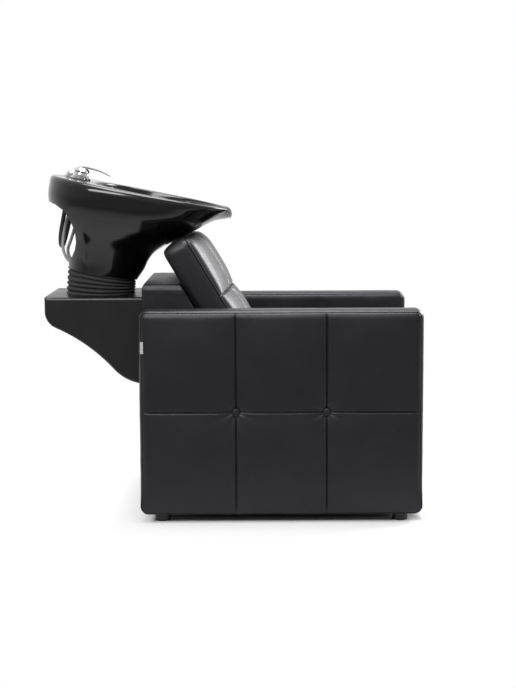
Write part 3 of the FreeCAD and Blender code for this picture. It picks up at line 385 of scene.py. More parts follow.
def metal(name, base, rough, streak_mm, stretch=1.0):
    """A bare or plated metal: its own colour, with faint polishing streaks and finger smears in the gloss."""
    material, tree, surface, place = start_material(name)
    if tree is None:
        return material
    turn = add(tree, "ShaderNodeMapping", {"Scale": (1.0, 1.0, stretch)}, Vector=place)
    streak = mottle(tree, turn.outputs["Vector"], streak_mm, 4.0)
    wire(tree, surface, Base_Color=mottled(tree, streak, base, 0.9, 1.05),
         Roughness=graded(tree, streak, 0.3, 0.7, rough * 0.6, rough * 1.5))
    surface.inputs["Metallic"].default_value = 1.0
    return material


def plywood():
    """Birch plywood: pale rotary-cut face with long soft figure, with painted shade along its foot: black up to 70
    mm, where shade falls under the chair.
    """
    material, tree, surface, place = start_material("birch_plywood")
    if tree is None:
        return material
    # Painted shade: below this height the ply takes the feet's black, standing in for the shade under the chair
    shade_top, shade_end = 0.070, 0.074
    turn = add(tree, "ShaderNodeMapping", {"Scale": (1.0, 1.0, 0.12)}, Vector=place)
    figure = mottle(tree, turn.outputs["Vector"], 9, 6.0, Distortion=0.6)
    above_shade = graded(tree, parts_of(tree, place)["Z"], shade_top, shade_end)
    ply_with_shade = add(tree, "ShaderNodeMix", {"data_type": "RGBA", 6: linear(colours().foot)}, i0=above_shade,
                  i7=mottled(tree, figure, colours().ply, 0.75, 1.15))
    wire(tree, surface, Base_Color=ply_with_shade.outputs[2], Normal=relief(tree, figure, 0.2, 0.5))
    surface.inputs["Roughness"].default_value = 0.62
    return material


def finish_for(slot):
    """The material for each of the record's slots."""
    c = colours()
    whole = {"upholstery": coated_fabric, "timber": plywood, "black_ceramic": black_glaze}
    # Name, colour, roughness, width of the streaks in mm, stretch along z
    metals = {
        "chrome": ("chrome_plate", c.chrome, 0.06, 18.0),
        "fastener_steel": ("zinc_plated_steel", "#A9AAA6", 0.34, 3.0),
        "brass": ("turned_brass", "#B08D4F", 0.28, 2.0, 8.0),
    }
    # Name, colour, roughness, size and depth of the grain in mm, index of refraction
    skins = {
        "feet": ("polypropylene_foot", c.foot, 0.5, 0.9, 0.4),
        "frame_steel": ("powder_coated_steel", "#1D1D1F", 0.45, 1.2, 0.6),
        "console": ("satin_abs_console", c.console, 0.34, 0.8, 0.3),
        "black_rubber": ("black_rubber", c.rubber, 0.36, 1.5, 0.4, 1.52),
        "grey_hose": ("grey_pvc_hose", c.hose, 0.36, 1.1, 0.3),
    }
    if slot in whole:
        return whole[slot]()
    if slot in metals:
        return metal(*metals[slot])
    return moulded(*skins.get(slot, ("white_polypropylene", "#D8D8D4", 0.42, 0.9, 0.3)))


# ---------------------------------------------------------------- padded blocks


def grid_lines(lines, counts, pull=0.78):
    """Positions along one axis: each stretch between seams has its own count, closer together at the seams."""
    places = [lines[0]]
    for (a, b), count in zip(zip(lines, lines[1:]), counts):
        for i in range(1, count + 1):
            t = i / count
            places.append(between(a, b, t - pull * math.sin(2 * math.pi * t) / (2 * math.pi)))
    return places


def pillow(value, lines, power):
    """0 on the seams, 1 in the middle of a panel; also the distance to the nearest seam."""
    near = min(abs(value - line) for line in lines)
    for a, b in zip(lines, lines[1:]):
        if a <= value <= b:
            return 1 - abs(2 * (value - a) / (b - a) - 1) ** power, near
    return 0.0, near


def rounded_edge(a, b, edge):
    """Moves a point a from the side and b from the face onto an edge of this radius."""
    if a >= edge or b >= edge:
        return a, b
    reach = math.hypot(edge - a, edge - b)
    return edge - edge * (edge - a) / reach, edge - edge * (edge - b) / reach


def rounded_corner(u, v, hu, hv, corner):
    """Moves a point onto an outline of half sizes hu and hv with round corners."""
    qu = max(-hu + corner, min(hu - corner, u))
    qv = max(-hv + corner, min(hv - corner, v))
    du, dv = u - qu, v - qv
    reach = math.hypot(du, dv)
    if reach <= 1e-9:
        return u, v
    most = max(abs(du), abs(dv))
    return qu + du * most / reach, qv + dv * most / reach


# How a cover lies, in metres: its waves, the pulls along a seam and the folds round a button
BROAD_WAVE, FINE_WAVE, SIDE_WAVE, SIDE_RISE, SIDE_DIP = 0.085, 0.030, 0.070, 0.050, 0.0012
PULL_SPACE, PULL_RUN, PULL_REACH, PULL_FADE = 0.013, 0.070, 0.090, 0.020
FOLDS, FOLD_FADE, FOLD_START, FOLD_END = 8, 0.035, 0.004, 0.014
QUIET = 0.030  # waves and seams die out over this distance from the side
WELT_ZONE = 0.020  # how far in from an outer seam its welt reaches
SEWN, BUTTONED = 0.004, 0.016  # the cover is held this close to a seam or a button
SHARP_FOOT, ROUND_FOOT = 0.015, 0.090  # heights between which a sharper foot edge grows round
SIDE_LINES, LAYER_PULL = 7, 0.8  # lines beyond the outer seams, and how close layers are at the faces


class Block:
    """The shape of a padded, seamed block. Its own axes are u along, v across and w up through the padding, from
    the middle of its size."""

    # What a block has unless its shape says otherwise
    border, corner, edge, back_edge, foot_edge = 0.012, 0.020, 0.012, 0.006, None
    swell = crown = back_swell = slack = seed = 0.0
    side_swell, welt, full, dome = 0.002, 0.0018, 2.6, (2.4, 2.4)
    seams_u = seams_v = pulls = ()
    fine, layers, warp = 40, 20, None

    def __init__(self, size, shape):
        self.__dict__.update(shape)
        self.half, self.depth = [side / 2 for side in size], size[2]
        self.inner = (self.seams_u, self.seams_v)
        self.seams = [[-h + self.border, *inner, h - self.border] for h, inner in zip(self.half, self.inner)]
        self.lines = [grid_lines([-h, *seams, h], [SIDE_LINES] + [self.fine] * (len(seams) - 1) + [SIDE_LINES])
                      for h, seams in zip(self.half, self.seams)]
        deep = self.half[2]
        self.lines.append(grid_lines([-deep, deep], [self.layers], LAYER_PULL))
        self.top, self.bottom = deep - self.swell - self.crown, -deep + self.back_swell

    def edge_at(self, v, upper):
        """Roundness between a face and the side, which may be less at the block's foot."""
        edge = self.edge if upper else self.back_edge
        if self.foot_edge is None:
            return edge
        hv = self.half[1]
        return between(min(edge, self.foot_edge), edge, smoothstep(-hv + SHARP_FOOT, -hv + ROUND_FOOT, v))

    def seam_lift(self, u, v):
        """A sewn groove along each seam, and short pulls that run off it."""
        p, lift = padding(), 0.0
        for lines, here, along in zip(self.inner, (u, v), (v, u)):
            for line in lines:
                gap = abs(here - line)
                lift -= p.seam_depth * math.exp(-(gap / p.seam_width) ** 2)
                if gap < PULL_REACH:
                    pull = noise.noise(Vector((along / PULL_SPACE, gap / PULL_RUN + line * 9, self.seed + 3.3)))
                    lift += p.pucker * pull * math.exp(-gap / PULL_FADE)
        return lift

    def button_lift(self, u, v):
        """A dimple at each button, and folds that run out from it."""
        lift = 0.0
        for pu, pv, radius, deep in self.pulls:
            reach = math.hypot(u - pu, v - pv)
            if reach < 4 * radius:
                turn = math.atan2(v - pv, u - pu)
                fold = math.cos(FOLDS * turn + 2 * noise.noise(Vector((turn, self.seed, pu * 7))))
                lift -= deep * math.exp(-(reach / radius) ** 1.4)
                lift += (padding().pleat * fold * math.exp(-reach / FOLD_FADE)
                         * smoothstep(FOLD_START, FOLD_END, reach))
        return lift

    def face_lift(self, u, v, on_top):
        """How far the cover stands out of a face."""
        p, (hu, hv, _), seed = padding(), self.half, self.seed
        (rise_u, near_u), (rise_v, near_v) = [pillow(c, seams, self.full) for c, seams in zip((u, v), self.seams)]
        lift = (self.swell if on_top else self.back_swell) * rise_u * rise_v
        if on_top:
            lift += self.crown * (1 - abs(u / hu) ** self.dome[0]) * (1 - abs(v / hv) ** self.dome[1])
        inside = min(1.0, min(hu - abs(u), hv - abs(v)) / QUIET)
        for wave, share, level in ((BROAD_WAVE, 1.0, 1.7), (FINE_WAVE, 0.4, 8.1)):
            lift += share * p.wrinkle * noise.noise(Vector((u / wave + seed, v / wave, level))) * inside
        if on_top:
            lift += self.seam_lift(u, v) * inside
        welts = [near for near, c, seams in zip((near_u, near_v), (u, v), self.seams)
                 if abs(c) > seams[-1] - WELT_ZONE]
        lift -= self.welt * math.exp(-(min(welts, default=math.inf) / p.seam_width) ** 2)
        return lift + self.button_lift(u, v)

    def is_held(self, u, v):
        """Whether thread or the block's edge holds the cover of the top face down."""
        hu, hv, _ = self.half
        return (min(hu - abs(u), hv - abs(v)) < self.edge
                or any(abs(c - line) < SEWN for c, lines in zip((u, v), self.inner) for line in lines)
                or any(math.hypot(u - pu, v - pv) < BUTTONED for pu, pv, _, _ in self.pulls))

    def spot_for(self, index):
        """Where the point with these numbers along u, v and w lies, and whether the cover is held there."""
        (hu, hv, hw), top, bottom = self.half, self.top, self.bottom
        fu, fv, fw = [lines[i] for i, lines in zip(index, self.lines)]
        last = [len(lines) - 1 for lines in self.lines]
        on_top, on_back = index[2] == last[2], index[2] == 0
        on_side = index[0] in (0, last[0]) or index[1] in (0, last[1])
        w = bottom + (top - bottom) * (fw + hw) / self.depth
        upper = w > (top + bottom) / 2
        au, av = hu - abs(fu), hv - abs(fv)
        inset, below = rounded_edge(min(au, av), (top - w) if upper else (w - bottom), self.edge_at(fv, upper))
        if on_side:
            inset += self.side_swell * (2 * (w - bottom) / (top - bottom) - 1) ** 2
        u = math.copysign(hu - max(au, inset), fu)
        v = math.copysign(hv - max(av, inset), fv)
        w = top - below if upper else bottom + below
        u, v = rounded_corner(u, v, hu, hv, self.corner)
        if on_top:
            w += self.face_lift(fu, fv, True)
        elif on_back and self.back_swell > 0:
            w -= self.face_lift(fu, fv, False)
        elif on_side:
            wave = noise.noise(Vector((fu / SIDE_WAVE + self.seed, fv / SIDE_WAVE, w / SIDE_RISE)))
            scale = 1 - SIDE_DIP * abs(wave) / max(hu, hv)
            u, v = u * scale, v * scale
        return Vector((u, v, w)), not on_top or self.is_held(fu, fv)


def padded_block(name, size, place, shape):
    """A padded block; place puts its axes in the frame, and shape gives its seams, edges, swell and pulls."""
    block = Block(size, shape)
    clear_selection()
    bpy.ops.mesh.primitive_cube_add(size=1.0)
    piece = named(name)
    for axis, lines in enumerate(block.lines):
        split_edges(piece, axis, len(lines) - 1)
    held = []
    for vertex in piece.data.vertices:
        index = [round((c + 0.5) * (len(lines) - 1)) for c, lines in zip(vertex.co, block.lines)]
        spot, is_held = block.spot_for(index)
        if is_held:
            held.append(vertex.index)
        spot = place @ spot
        vertex.co = block.warp(spot) if block.warp else spot
    if block.slack:
        plump(piece, held, block.slack)
    tidy_mesh(piece, None)
    smooth(piece)
    return piece


def plump(piece, held, slack):
    """Fills a cover as its foam does: cloth cut a little large, sewn down at its seams, pressed from inside."""
    p = padding()
    scene = bpy.context.scene
    make_active(piece)
    group = piece.vertex_groups.new(name="held")
    group.add(held, 1.0, "REPLACE")
    before = [vertex.co.copy() for vertex in piece.data.vertices]
    cloth = piece.modifiers.new("plump", "CLOTH")
    cover = cloth.settings
    cover.vertex_group_mass, cover.pin_stiffness = "held", 1.0
    cover.use_pressure, cover.uniform_pressure_force = True, p.pressure
    cover.quality, cover.mass, cover.air_damping = 4, 0.3, 2.0
    cover.bending_stiffness, cover.shrink_min = 0.4, -slack
    cover.effector_weights.gravity = 0.0
    cloth.collision_settings.use_collision = False
    cloth.point_cache.frame_start, cloth.point_cache.frame_end = 1, p.frames
    for step in range(1, p.frames + 1):
        scene.frame_set(step)
    apply_modifier(piece, "plump")
    scene.frame_set(1)
    for vertex, start in zip(piece.data.vertices, before):
        move = vertex.co - start
        if move.length > p.most:
            vertex.co = start + move * (p.most / move.length)
    piece.vertex_groups.clear()


def axes(origin, along, across):
    """A place whose u, v and w run along, across and out of both."""
    u, v = Vector(along).normalized(), Vector(across).normalized()
    w = u.cross(v)
    made = Matrix((u, v, w)).transposed().to_4x4()
    made.translation = Vector(origin)
    return made


def middle_and_size(node):
    low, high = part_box(node)
    return (low + high) / 2, high - low


def upholster(piece, node):
    """Covers a padded piece that stands for one node."""
    dress(piece, coated_fabric(), "chair", [node])


# The seat's height, and the lean of the back above it
SEAT_Z = 0.470
LEAN = math.radians(30.5)
PANEL_SHARE = 0.97  # an arm's middle panel, as a part of a third of its length
ARM_PULL, CUSHION_PULL = 0.026, 0.024
BACK_LENGTH, BACK_DEPTH, BACK_FOOT_X, BACK_FOOT_Z, BACK_GAP = 0.428, 0.134, -0.001, 0.462, 0.0004
# A point that the basin presses is moved down the back and into it by small steps, up to so many
PRESS_STEPS, PRESS_MARGIN = 40, 0.005
STEP_UP, STEP_OUT = Vector((-0.5075, 0, 0.8616)) * 0.0015, Vector((0.8616, 0, 0.5075)) * 0.0004
SIDES = ((-1, "right"), (1, "left"))


class OBJECT_OT_backwash_arms(bpy.types.Operator):
    """Both padded arms, each with six panels and two pulls for its buttons"""

    bl_idname = "object.backwash_arms"
    bl_label = "Arms"

    def execute(self, context):
        p = padding()
        for side, name in SIDES:
            middle, size = middle_and_size(name + "_arm_cover")
            across = (size.x / 3) * PANEL_SHARE
            # The cover hangs a little below its frame
            level = p.proud / 2
            place = axes(middle - Vector((0, 0, level)), (-side, 0, 0), (0, 0, 1))
            piece = padded_block(name + "_arm_padding", (size.x + 2 * p.proud, size.z + p.proud, size.y), place, {
                "seams_u": [-across / 2, across / 2], "seams_v": [level], "border": 0.004, "fine": 38,
                "corner": p.arm_corner, "edge": p.arm_edge, "back_edge": 0.022, "foot_edge": 0.007,
                "swell": p.arm_swell, "back_swell": 0.003, "side_swell": 0.0006, "welt": 0.003, "slack": 0.012,
                "pulls": [(u, level, ARM_PULL, p.dimple) for u in (-across / 2, across / 2)], "seed": 5.0 + side,
            })
            upholster(piece, name + "_arm_cover")
        return {"FINISHED"}


class OBJECT_OT_backwash_buttons(bpy.types.Operator):
    """Covered buttons, domed, with the cover gathered in under their edge"""

    bl_idname = "object.backwash_buttons"
    bl_label = "Buttons"

    def execute(self, context):
        radius = padding().button
        for side, name in SIDES:
            middle, size = middle_and_size(name + "_arm_buttons")
            spread = (size.x - 2 * radius) / 2
            made = []
            for turn in (-1, 1):
                clear_selection()
                bpy.ops.mesh.primitive_uv_sphere_add(segments=40, ring_count=24, radius=1.0)
                one = named("button")
                for vertex in one.data.vertices:
                    x, y, z = vertex.co
                    out = math.hypot(x, y)
                    gather = 1 + 0.02 * math.cos(9 * math.atan2(y, x)) * smoothstep(0.6, 1.0, out)
                    flat = math.copysign(abs(z) ** 0.8, z)
                    vertex.co = Vector((x * radius * gather, y * radius * gather, flat * size.y * 0.5))
                one.data.transform(axes((middle.x + turn * spread, middle.y, middle.z), (-side, 0, 0), (0, 0, 1)))
                made.append(one)
            clear_selection()
            for one in made:
                one.select_set(True)
            bpy.context.view_layer.objects.active = made[0]
            bpy.ops.object.join()
            piece = named(name + "_covered_buttons")
            tidy_mesh(piece)
            smooth(piece)
            upholster(piece, name + "_arm_buttons")
        return {"FINISHED"}


class OBJECT_OT_backwash_seat(bpy.types.Operator):
    """The crowned seat cushion with six panels"""

    bl_idname = "object.backwash_seat"
    bl_label = "Seat cushion"

    def execute(self, context):
        middle, size = middle_and_size("seat_cushion")
        piece = padded_block("seat_padding", size, axes(middle, (1, 0, 0), (0, 1, 0)), {
            "seams_u": [0.0], "seams_v": [-size.y / 6, size.y / 6], "border": 0.006, "fine": 34,
            "corner": 0.026, "edge": 0.028, "back_edge": 0.01, "swell": 0.014, "crown": 0.016, "seed": 21.0,
            "slack": 0.015, "full": 3.4, "pulls": [(0.0, v, CUSHION_PULL, 0.007) for v in (-size.y / 6, size.y / 6)],
        })
        upholster(piece, "seat_cushion")
        return {"FINISHED"}


def basin_presses(spot):
    """Eases a point of the backrest away from the basin's underside."""
    for _ in range(PRESS_STEPS):
        x, y, z = basin_place().inverted() @ spot
        if not inside_basin(x, y, z, PRESS_MARGIN):
            break
        spot = spot - STEP_UP - STEP_OUT
    return spot


class OBJECT_OT_backwash_backrest(bpy.types.Operator):
    """The reclined back cushion, deep at its boxing, with six panels"""

    bl_idname = "object.backwash_backrest"
    bl_label = "Back cushion"

    def execute(self, context):
        along = Vector((-math.sin(LEAN), 0, math.cos(LEAN)))
        out = Vector((math.cos(LEAN), 0, math.sin(LEAN)))
        width = middle_and_size("backrest_cushion")[1].y
        foot = Vector((BACK_FOOT_X + (SEAT_Z - BACK_FOOT_Z) * math.tan(LEAN), 0, BACK_FOOT_Z)) + out * BACK_GAP
        middle = foot + along * (BACK_LENGTH / 2) + out * (BACK_DEPTH / 2)
        size = (BACK_LENGTH, width, BACK_DEPTH)
        piece = padded_block("back_padding", size, axes(middle, along, (0, -1, 0)), {
            "seams_u": [0.0], "seams_v": [-width / 6, width / 6], "border": 0.006, "fine": 34,
            "corner": 0.034, "edge": 0.022, "back_edge": 0.022, "swell": 0.008, "crown": 0.036, "seed": 33.0,
            "welt": 0.0006, "side_swell": 0.0035, "slack": 0.012, "full": 3.6, "dome": (11.0, 2.1),
            "pulls": [(0.0, v, CUSHION_PULL, 0.008) for v in (-width / 6, width / 6)], "warp": basin_presses,
        })
        upholster(piece, "backrest_cushion")
        return {"FINISHED"}


class OBJECT_OT_backwash_apron(bpy.types.Operator):
    """The padded panel under the front of the seat"""

    bl_idname = "object.backwash_apron"
    bl_label = "Front apron"

    def execute(self, context):
        middle, size = middle_and_size("front_apron")
        piece = padded_block("apron_padding", (size.y, size.z, size.x), axes(middle, (0, 1, 0), (0, 0, 1)), {
            "seams_u": [-size.y / 6, size.y / 6], "border": 0.008, "fine": 30, "corner": 0.006, "edge": 0.006,
            "back_edge": 0.003, "swell": 0.006, "seed": 44.0, "layers": 8, "side_swell": 0.0,
        })
        upholster(piece, "front_apron")
        return {"FINISHED"}


class OBJECT_OT_backwash_rear_box(bpy.types.Operator):
    """The covered box behind the back cushion, with a crowned top"""

    bl_idname = "object.backwash_rear_box"
    bl_label = "Rear box"

    def execute(self, context):
        middle, size = middle_and_size("rear_box_cover")
        low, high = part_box("rear_box_cover")

        def narrowed(spot):
            # The front slopes back above the seat, and the cover drags in fine folds on the top
            full = high.x - low.x
            room = full - max(0.0, spot.z - SEAT_Z) * math.tan(LEAN)
            t = (spot.x - low.x) / full
            spot = Vector((low.x + t * room, spot.y, spot.z))
            fold = noise.noise(Vector((spot.x / 0.16, spot.y / 0.012, 4.0)))
            spot.z -= 0.0012 * abs(fold) * smoothstep(high.z - 0.025, high.z - 0.008, spot.z)
            return spot

        piece = padded_block("rear_box_padding", size, axes(middle, (1, 0, 0), (0, 1, 0)), {
            "border": 0.004, "fine": 60, "corner": 0.014, "edge": 0.020, "back_edge": 0.004, "crown": 0.008,
            "seed": 51.0, "layers": 70, "side_swell": 0.0, "welt": 0.0028, "warp": narrowed,
        })
        upholster(piece, "rear_box_cover")
        return {"FINISHED"}


class OBJECT_OT_backwash_tag(bpy.types.Operator):
    """A blank woven tag sewn into the rear edge of the near arm"""

    bl_idname = "object.backwash_tag"
    bl_label = "Blank tag"

    def execute(self, context):
        low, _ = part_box("right_arm_cover")
        middle = Vector((low.x + 0.0062, low.y + 0.0062, 0.543))
        deep, thick, tall = 0.009, 0.0009, 0.036
        clear_selection()
        bpy.ops.mesh.primitive_cube_add(size=1.0)
        piece = named("blank_tag")
        split_edges(piece, 0, 7)
        split_edges(piece, 2, 11)
        for vertex in piece.data.vertices:
            x, y, z = vertex.co
            curl = 0.0012 * (x + 0.5) ** 2 + 0.0004 * math.sin(z * 7)
            vertex.co = middle + Vector((x * deep, y * thick - curl, z * tall))
        tidy_mesh(piece)
        smooth(piece, 40)
        dress(piece, woven_tag(), "chair")
        return {"FINISHED"}


def woven_tag():
    """A damask-woven satin ribbon, left plain: pale grey thread with a fine rib across it."""
    material, tree, surface, place = start_material("woven_tag")
    if tree is None:
        return material
    # Thread is about 0.3 mm; the rib is drawn at 1.2 mm so that it shows
    rib = add(tree, "ShaderNodeTexWave", {"Scale": 1 / (1.2 * MM) / 6.28, "bands_direction": "Z"},
              Vector=place).outputs["Fac"]
    wire(tree, surface, Base_Color=ramp(tree, rib, [(0.2, linear("#8E8F92")), (0.8, linear("#B9BABD"))]),
         Normal=relief(tree, rib, 0.3, 0.3))
    surface.inputs["Roughness"].default_value = 0.5
    return material


# ---------------------------------------------------------------- basin

HINGE = Vector((-0.424, 0.0, 0.720))
TILT = math.radians(11.2)
FOOT_Z, RIM_Z, FLOOR_Z = 0.026, 0.308, 0.104
REAR, FRONT, HALF = -0.212, 0.373, 0.250
BOWL_REAR, BOWL_FRONT, BOWL_HALF = -0.071, 0.339, 0.216
DRAIN_X, DRAIN_R, DRAIN_STEP, DRAIN_DEEP = 0.030, 0.029, 0.002, 0.012
TAPER = 0.08  # how much the outline narrows toward the tip
AROUND = 160
WALL_ROWS, ROLL_ROWS, DECK_ROWS, LIP_ROWS, BOWL_ROWS, DRAIN_ROWS = 46, 12, 10, 8, 42, 5
# Place and radius of the holes in the deck
MIXER_HOLE, SHOWER_HOLE = (-0.122, 0.0, 0.017), (-0.162, 0.066, 0.016)

# Height as a part of the whole, rear, front, half width, squareness
OUTSIDE = [
    (0.00, -0.111, 0.115, 0.111, 2.0), (0.13, -0.121, 0.131, 0.124, 2.0), (0.25, -0.136, 0.141, 0.141, 2.05),
    (0.35, -0.151, 0.157, 0.159, 2.1), (0.48, REAR * 0.82, FRONT * 0.53, HALF * 0.755, 2.4),
    (0.61, REAR * 0.91, FRONT * 0.66, HALF * 0.865, 2.7), (0.77, REAR * 0.98, FRONT * 0.81, HALF * 0.965, 2.8),
    (0.92, REAR, FRONT * 0.95, HALF * 0.995, 2.6), (1.00, REAR, FRONT * 1.03, HALF, 2.5),
]
BOWL = [
    (0.000, -0.016, 0.080, 0.052, 2.0), (0.055, -0.032, 0.104, 0.086, 2.0),
    (0.175, -0.044, BOWL_FRONT * 0.40, BOWL_HALF * 0.55, 2.05),
    (0.345, -0.054, BOWL_FRONT * 0.54, BOWL_HALF * 0.70, 2.1),
    (0.515, BOWL_REAR * 0.84, BOWL_FRONT * 0.68, BOWL_HALF * 0.82, 2.2),
    (0.709, BOWL_REAR * 0.92, BOWL_FRONT * 0.81, BOWL_HALF * 0.91, 2.3),
    (0.879, BOWL_REAR * 0.98, BOWL_FRONT * 0.93, BOWL_HALF * 0.97, 2.4),
    (1.000, BOWL_REAR, BOWL_FRONT, BOWL_HALF, 2.5),
]


def section(table, part):
    """The section at a part of the height, on a smooth curve through the table's rows."""
    part = min(1.0, max(0.0, part))
    i = max(k for k in range(len(table) - 1) if table[k][0] <= part)
    a, b = table[i], table[i + 1]
    before, after = table[max(0, i - 1)], table[min(len(table) - 1, i + 2)]
    span = b[0] - a[0]
    t = (part - a[0]) / span
    made = []
    for k in range(1, 5):
        slope_a = (b[k] - before[k]) / (b[0] - before[0]) * span
        slope_b = (after[k] - a[k]) / (after[0] - a[0]) * span
        made.append((2 * t**3 - 3 * t**2 + 1) * a[k] + (t**3 - 2 * t**2 + t) * slope_a
                    + (3 * t**2 - 2 * t**3) * b[k] + (t**3 - t**2) * slope_b)
    return made


def egg(turn, rear, front, half, square):
    c, s = math.cos(turn), math.sin(turn)
    x = (rear + front) / 2 + (front - rear) / 2 * math.copysign(abs(c) ** (2 / square), c)
    return x, half * math.copysign(abs(s) ** (2 / square), s) * (1 - TAPER * c)


def inside_basin(x, y, z, margin):
    if z < FOOT_Z - margin or z > RIM_Z + margin:
        return False
    rear, front, half, square = section(OUTSIDE, (z + margin * 0.5 - FOOT_Z) / (RIM_Z - FOOT_Z))
    across = (x - (rear + front) / 2) / ((front - rear) / 2 + margin)
    if abs(across) >= 1:
        return False
    wide = (half + margin) * (1 - TAPER * math.copysign(abs(across) ** (square / 2), across))
    return abs(across) ** square + abs(y / wide) ** square < 1


def basin_place():
    made = Matrix.Rotation(TILT, 4, "Y")
    made.translation = HINGE
    return made


def shoulder_at(turn):
    """The rim rolls over gently along the sides, and more sharply at the rear and at the tip."""
    s = basin_settings()
    share = abs(math.sin(turn)) ** 1.5
    return between(0.5 * s.rim, s.rim, share), between(0.4 * s.shoulder, s.shoulder, share)


def wall_ring(part):
    def ring(turn):
        z = between(FOOT_Z, RIM_Z - shoulder_at(turn)[1], part)
        return (z, *section(OUTSIDE, (z - FOOT_Z) / (RIM_Z - FOOT_Z)))
    return ring


def roll_ring(share):
    def ring(turn):
        rim, shoulder = shoulder_at(turn)
        inset = rim * (1 - math.cos(math.pi / 2 * share))
        z = RIM_Z - shoulder * (1 - math.sin(math.pi / 2 * share))
        rear, front, half, square = section(OUTSIDE, (z - FOOT_Z) / (RIM_Z - FOOT_Z))
        return z, rear + inset, front - inset, half - inset, square
    return ring


def level_ring(z, rear, front, half, square):
    return lambda turn: (z, rear, front, half, square)


def deck_ring(share, inner):
    def ring(turn):
        outer = roll_ring(1.0)(turn)[1:]
        return (RIM_Z, *[between(a, b, share) for a, b in zip(outer, inner)])
    return ring


def basin_rings():
    """Sections from the foot up the outside, over the rim and the deck, and down the bowl to the drain.
    Each gives its height and outline for a turn about the bowl."""
    lip = basin_settings().lip
    rings = [wall_ring(i / WALL_ROWS) for i in range(WALL_ROWS + 1)]
    rings += [roll_ring(i / ROLL_ROWS) for i in range(1, ROLL_ROWS + 1)]
    rear, front, half, square = section(BOWL, 1.0)
    inner = [rear - lip, front + lip, half + lip, square]
    rings += [deck_ring(i / DECK_ROWS, inner) for i in range(1, DECK_ROWS + 1)]
    for i in range(1, LIP_ROWS + 1):
        turn = math.pi / 2 * i / LIP_ROWS
        inset, z = lip * math.sin(turn), RIM_Z - lip + lip * math.cos(turn)
        rings.append(level_ring(z, inner[0] + inset, inner[1] - inset, inner[2] - inset, square))
    for i in range(1, BOWL_ROWS + 1):
        z = between(RIM_Z - lip, FLOOR_Z, (i / BOWL_ROWS) ** 0.9)
        last = section(BOWL, (z - FLOOR_Z) / (RIM_Z - FLOOR_Z))
        rings.append(level_ring(z, *last))
    drain = [DRAIN_X - DRAIN_R, DRAIN_X + DRAIN_R, DRAIN_R, 2.0]
    for i in range(1, DRAIN_ROWS + 1):
        t = i / DRAIN_ROWS
        rings.append(level_ring(FLOOR_Z - DRAIN_STEP * t, *[between(a, b, t) for a, b in zip(last, drain)]))
    rings.append(level_ring(FLOOR_Z - DRAIN_DEEP, *drain))
    return rings


def neck_hollow(x, y, z):
    """How far the rim is drawn down under the neck."""
    s = basin_settings()
    across = max(0.0, 1 - (y / (s.neck_width / 2 * 1.2)) ** 2) ** 2
    along = smoothstep(0.55 * FRONT, 0.98 * FRONT, x)
    high = smoothstep(RIM_Z - 0.060, RIM_Z, z)
    return s.neck_depth * across * along * high


class OBJECT_OT_backwash_basin(bpy.types.Operator):
    """The moulded basin: a shell from its foot over a rolled rim into the bowl, open at the rear of its skirt"""

    bl_idname = "object.backwash_basin"
    bl_label = "Basin"

    def execute(self, context):
        rings = basin_rings()

        def spot_at(turn, row):
            z, *outline = rings[row](turn)
            x, y = egg(turn, *outline)
            return Vector((x, y, z - neck_hollow(x, y, z)))

        piece = wrapped_grid("basin_shell", AROUND, len(rings) - 1, spot_at)
        # The shell's own thickness lies inside it, so its deck has to face up
        top = max(piece.data.polygons, key=lambda f: f.center.z)
        if top.normal.z < 0:
            open_for_edit(piece)
            bpy.ops.mesh.flip_normals()
            bpy.ops.object.mode_set(mode="OBJECT")
        thicken(piece, basin_settings().wall)
        for cutter in (skirt_cutter(), hose_gap_cutter(), hole_cutter(*MIXER_HOLE), hole_cutter(*SHOWER_HOLE)):
            cut = piece.modifiers.new("opening", "BOOLEAN")
            cut.operation, cut.solver, cut.object = "DIFFERENCE", "EXACT", cutter
            apply_modifier(piece, "opening")
            bpy.data.objects.remove(cutter)
        piece.data.transform(basin_place())
        smooth(piece, 42)
        dress(piece, black_glaze(), "basin", ["basin"])
        return {"FINISHED"}


def skirt_cutter():
    """The C-shaped opening through the rear of the skirt."""
    far, low, top, deep, wide = -0.45, 0.048, 0.226, -0.086, 0.4
    rise = top - low
    outline = [(far, low), (deep - 0.060, low), (deep - 0.024, low + 0.002), (deep - 0.010, low + rise * 0.10),
               (deep - 0.002, low + rise * 0.24), (deep, low + rise * 0.38), (deep - 0.004, low + rise * 0.52),
               (deep - 0.013, low + rise * 0.66), (deep - 0.028, low + rise * 0.80),
               (deep - 0.050, low + rise * 0.92), (deep - 0.078, low + rise * 0.985), (deep - 0.098, top), (far, top)]
    clear_selection()
    bpy.ops.mesh.primitive_circle_add(vertices=len(outline), radius=1.0, fill_type="NGON")
    cutter = named("skirt_cutter")
    for vertex, (x, z) in zip(cutter.data.vertices, outline):
        vertex.co = Vector((x, -wide, z))
    open_for_edit(cutter)
    bpy.ops.mesh.extrude_region_move(TRANSFORM_OT_translate={"value": (0, 2 * wide, 0)})
    close_edit()
    return cutter


def hose_gap_cutter():
    clear_selection()
    bpy.ops.mesh.primitive_cube_add(size=1.0, location=(-0.135, 0, 0.02), scale=(0.17, 0.092, 0.08))
    bpy.ops.object.transform_apply(location=True, rotation=True, scale=True)
    return named("hose_gap_cutter")


def hole_cutter(x, y, radius):
    """A round cutter through the deck, turned a little so that no corner meets the shell's own seam line."""
    clear_selection()
    bpy.ops.mesh.primitive_cylinder_add(vertices=48, radius=radius, depth=0.08, location=(x, y, RIM_Z),
                                        rotation=(0, 0, 0.02))
    bpy.ops.object.transform_apply(location=True, rotation=True, scale=True)
    return named("hole_cutter")


CONSOLE_TOP = 0.681
BELLOWS_R, BELLOWS_WALL, BELLOWS_SLACK, CUFF = 0.111, 0.0025, 0.0030, 0.004
BELLOWS_AROUND, RIB_ROWS = 128, 18


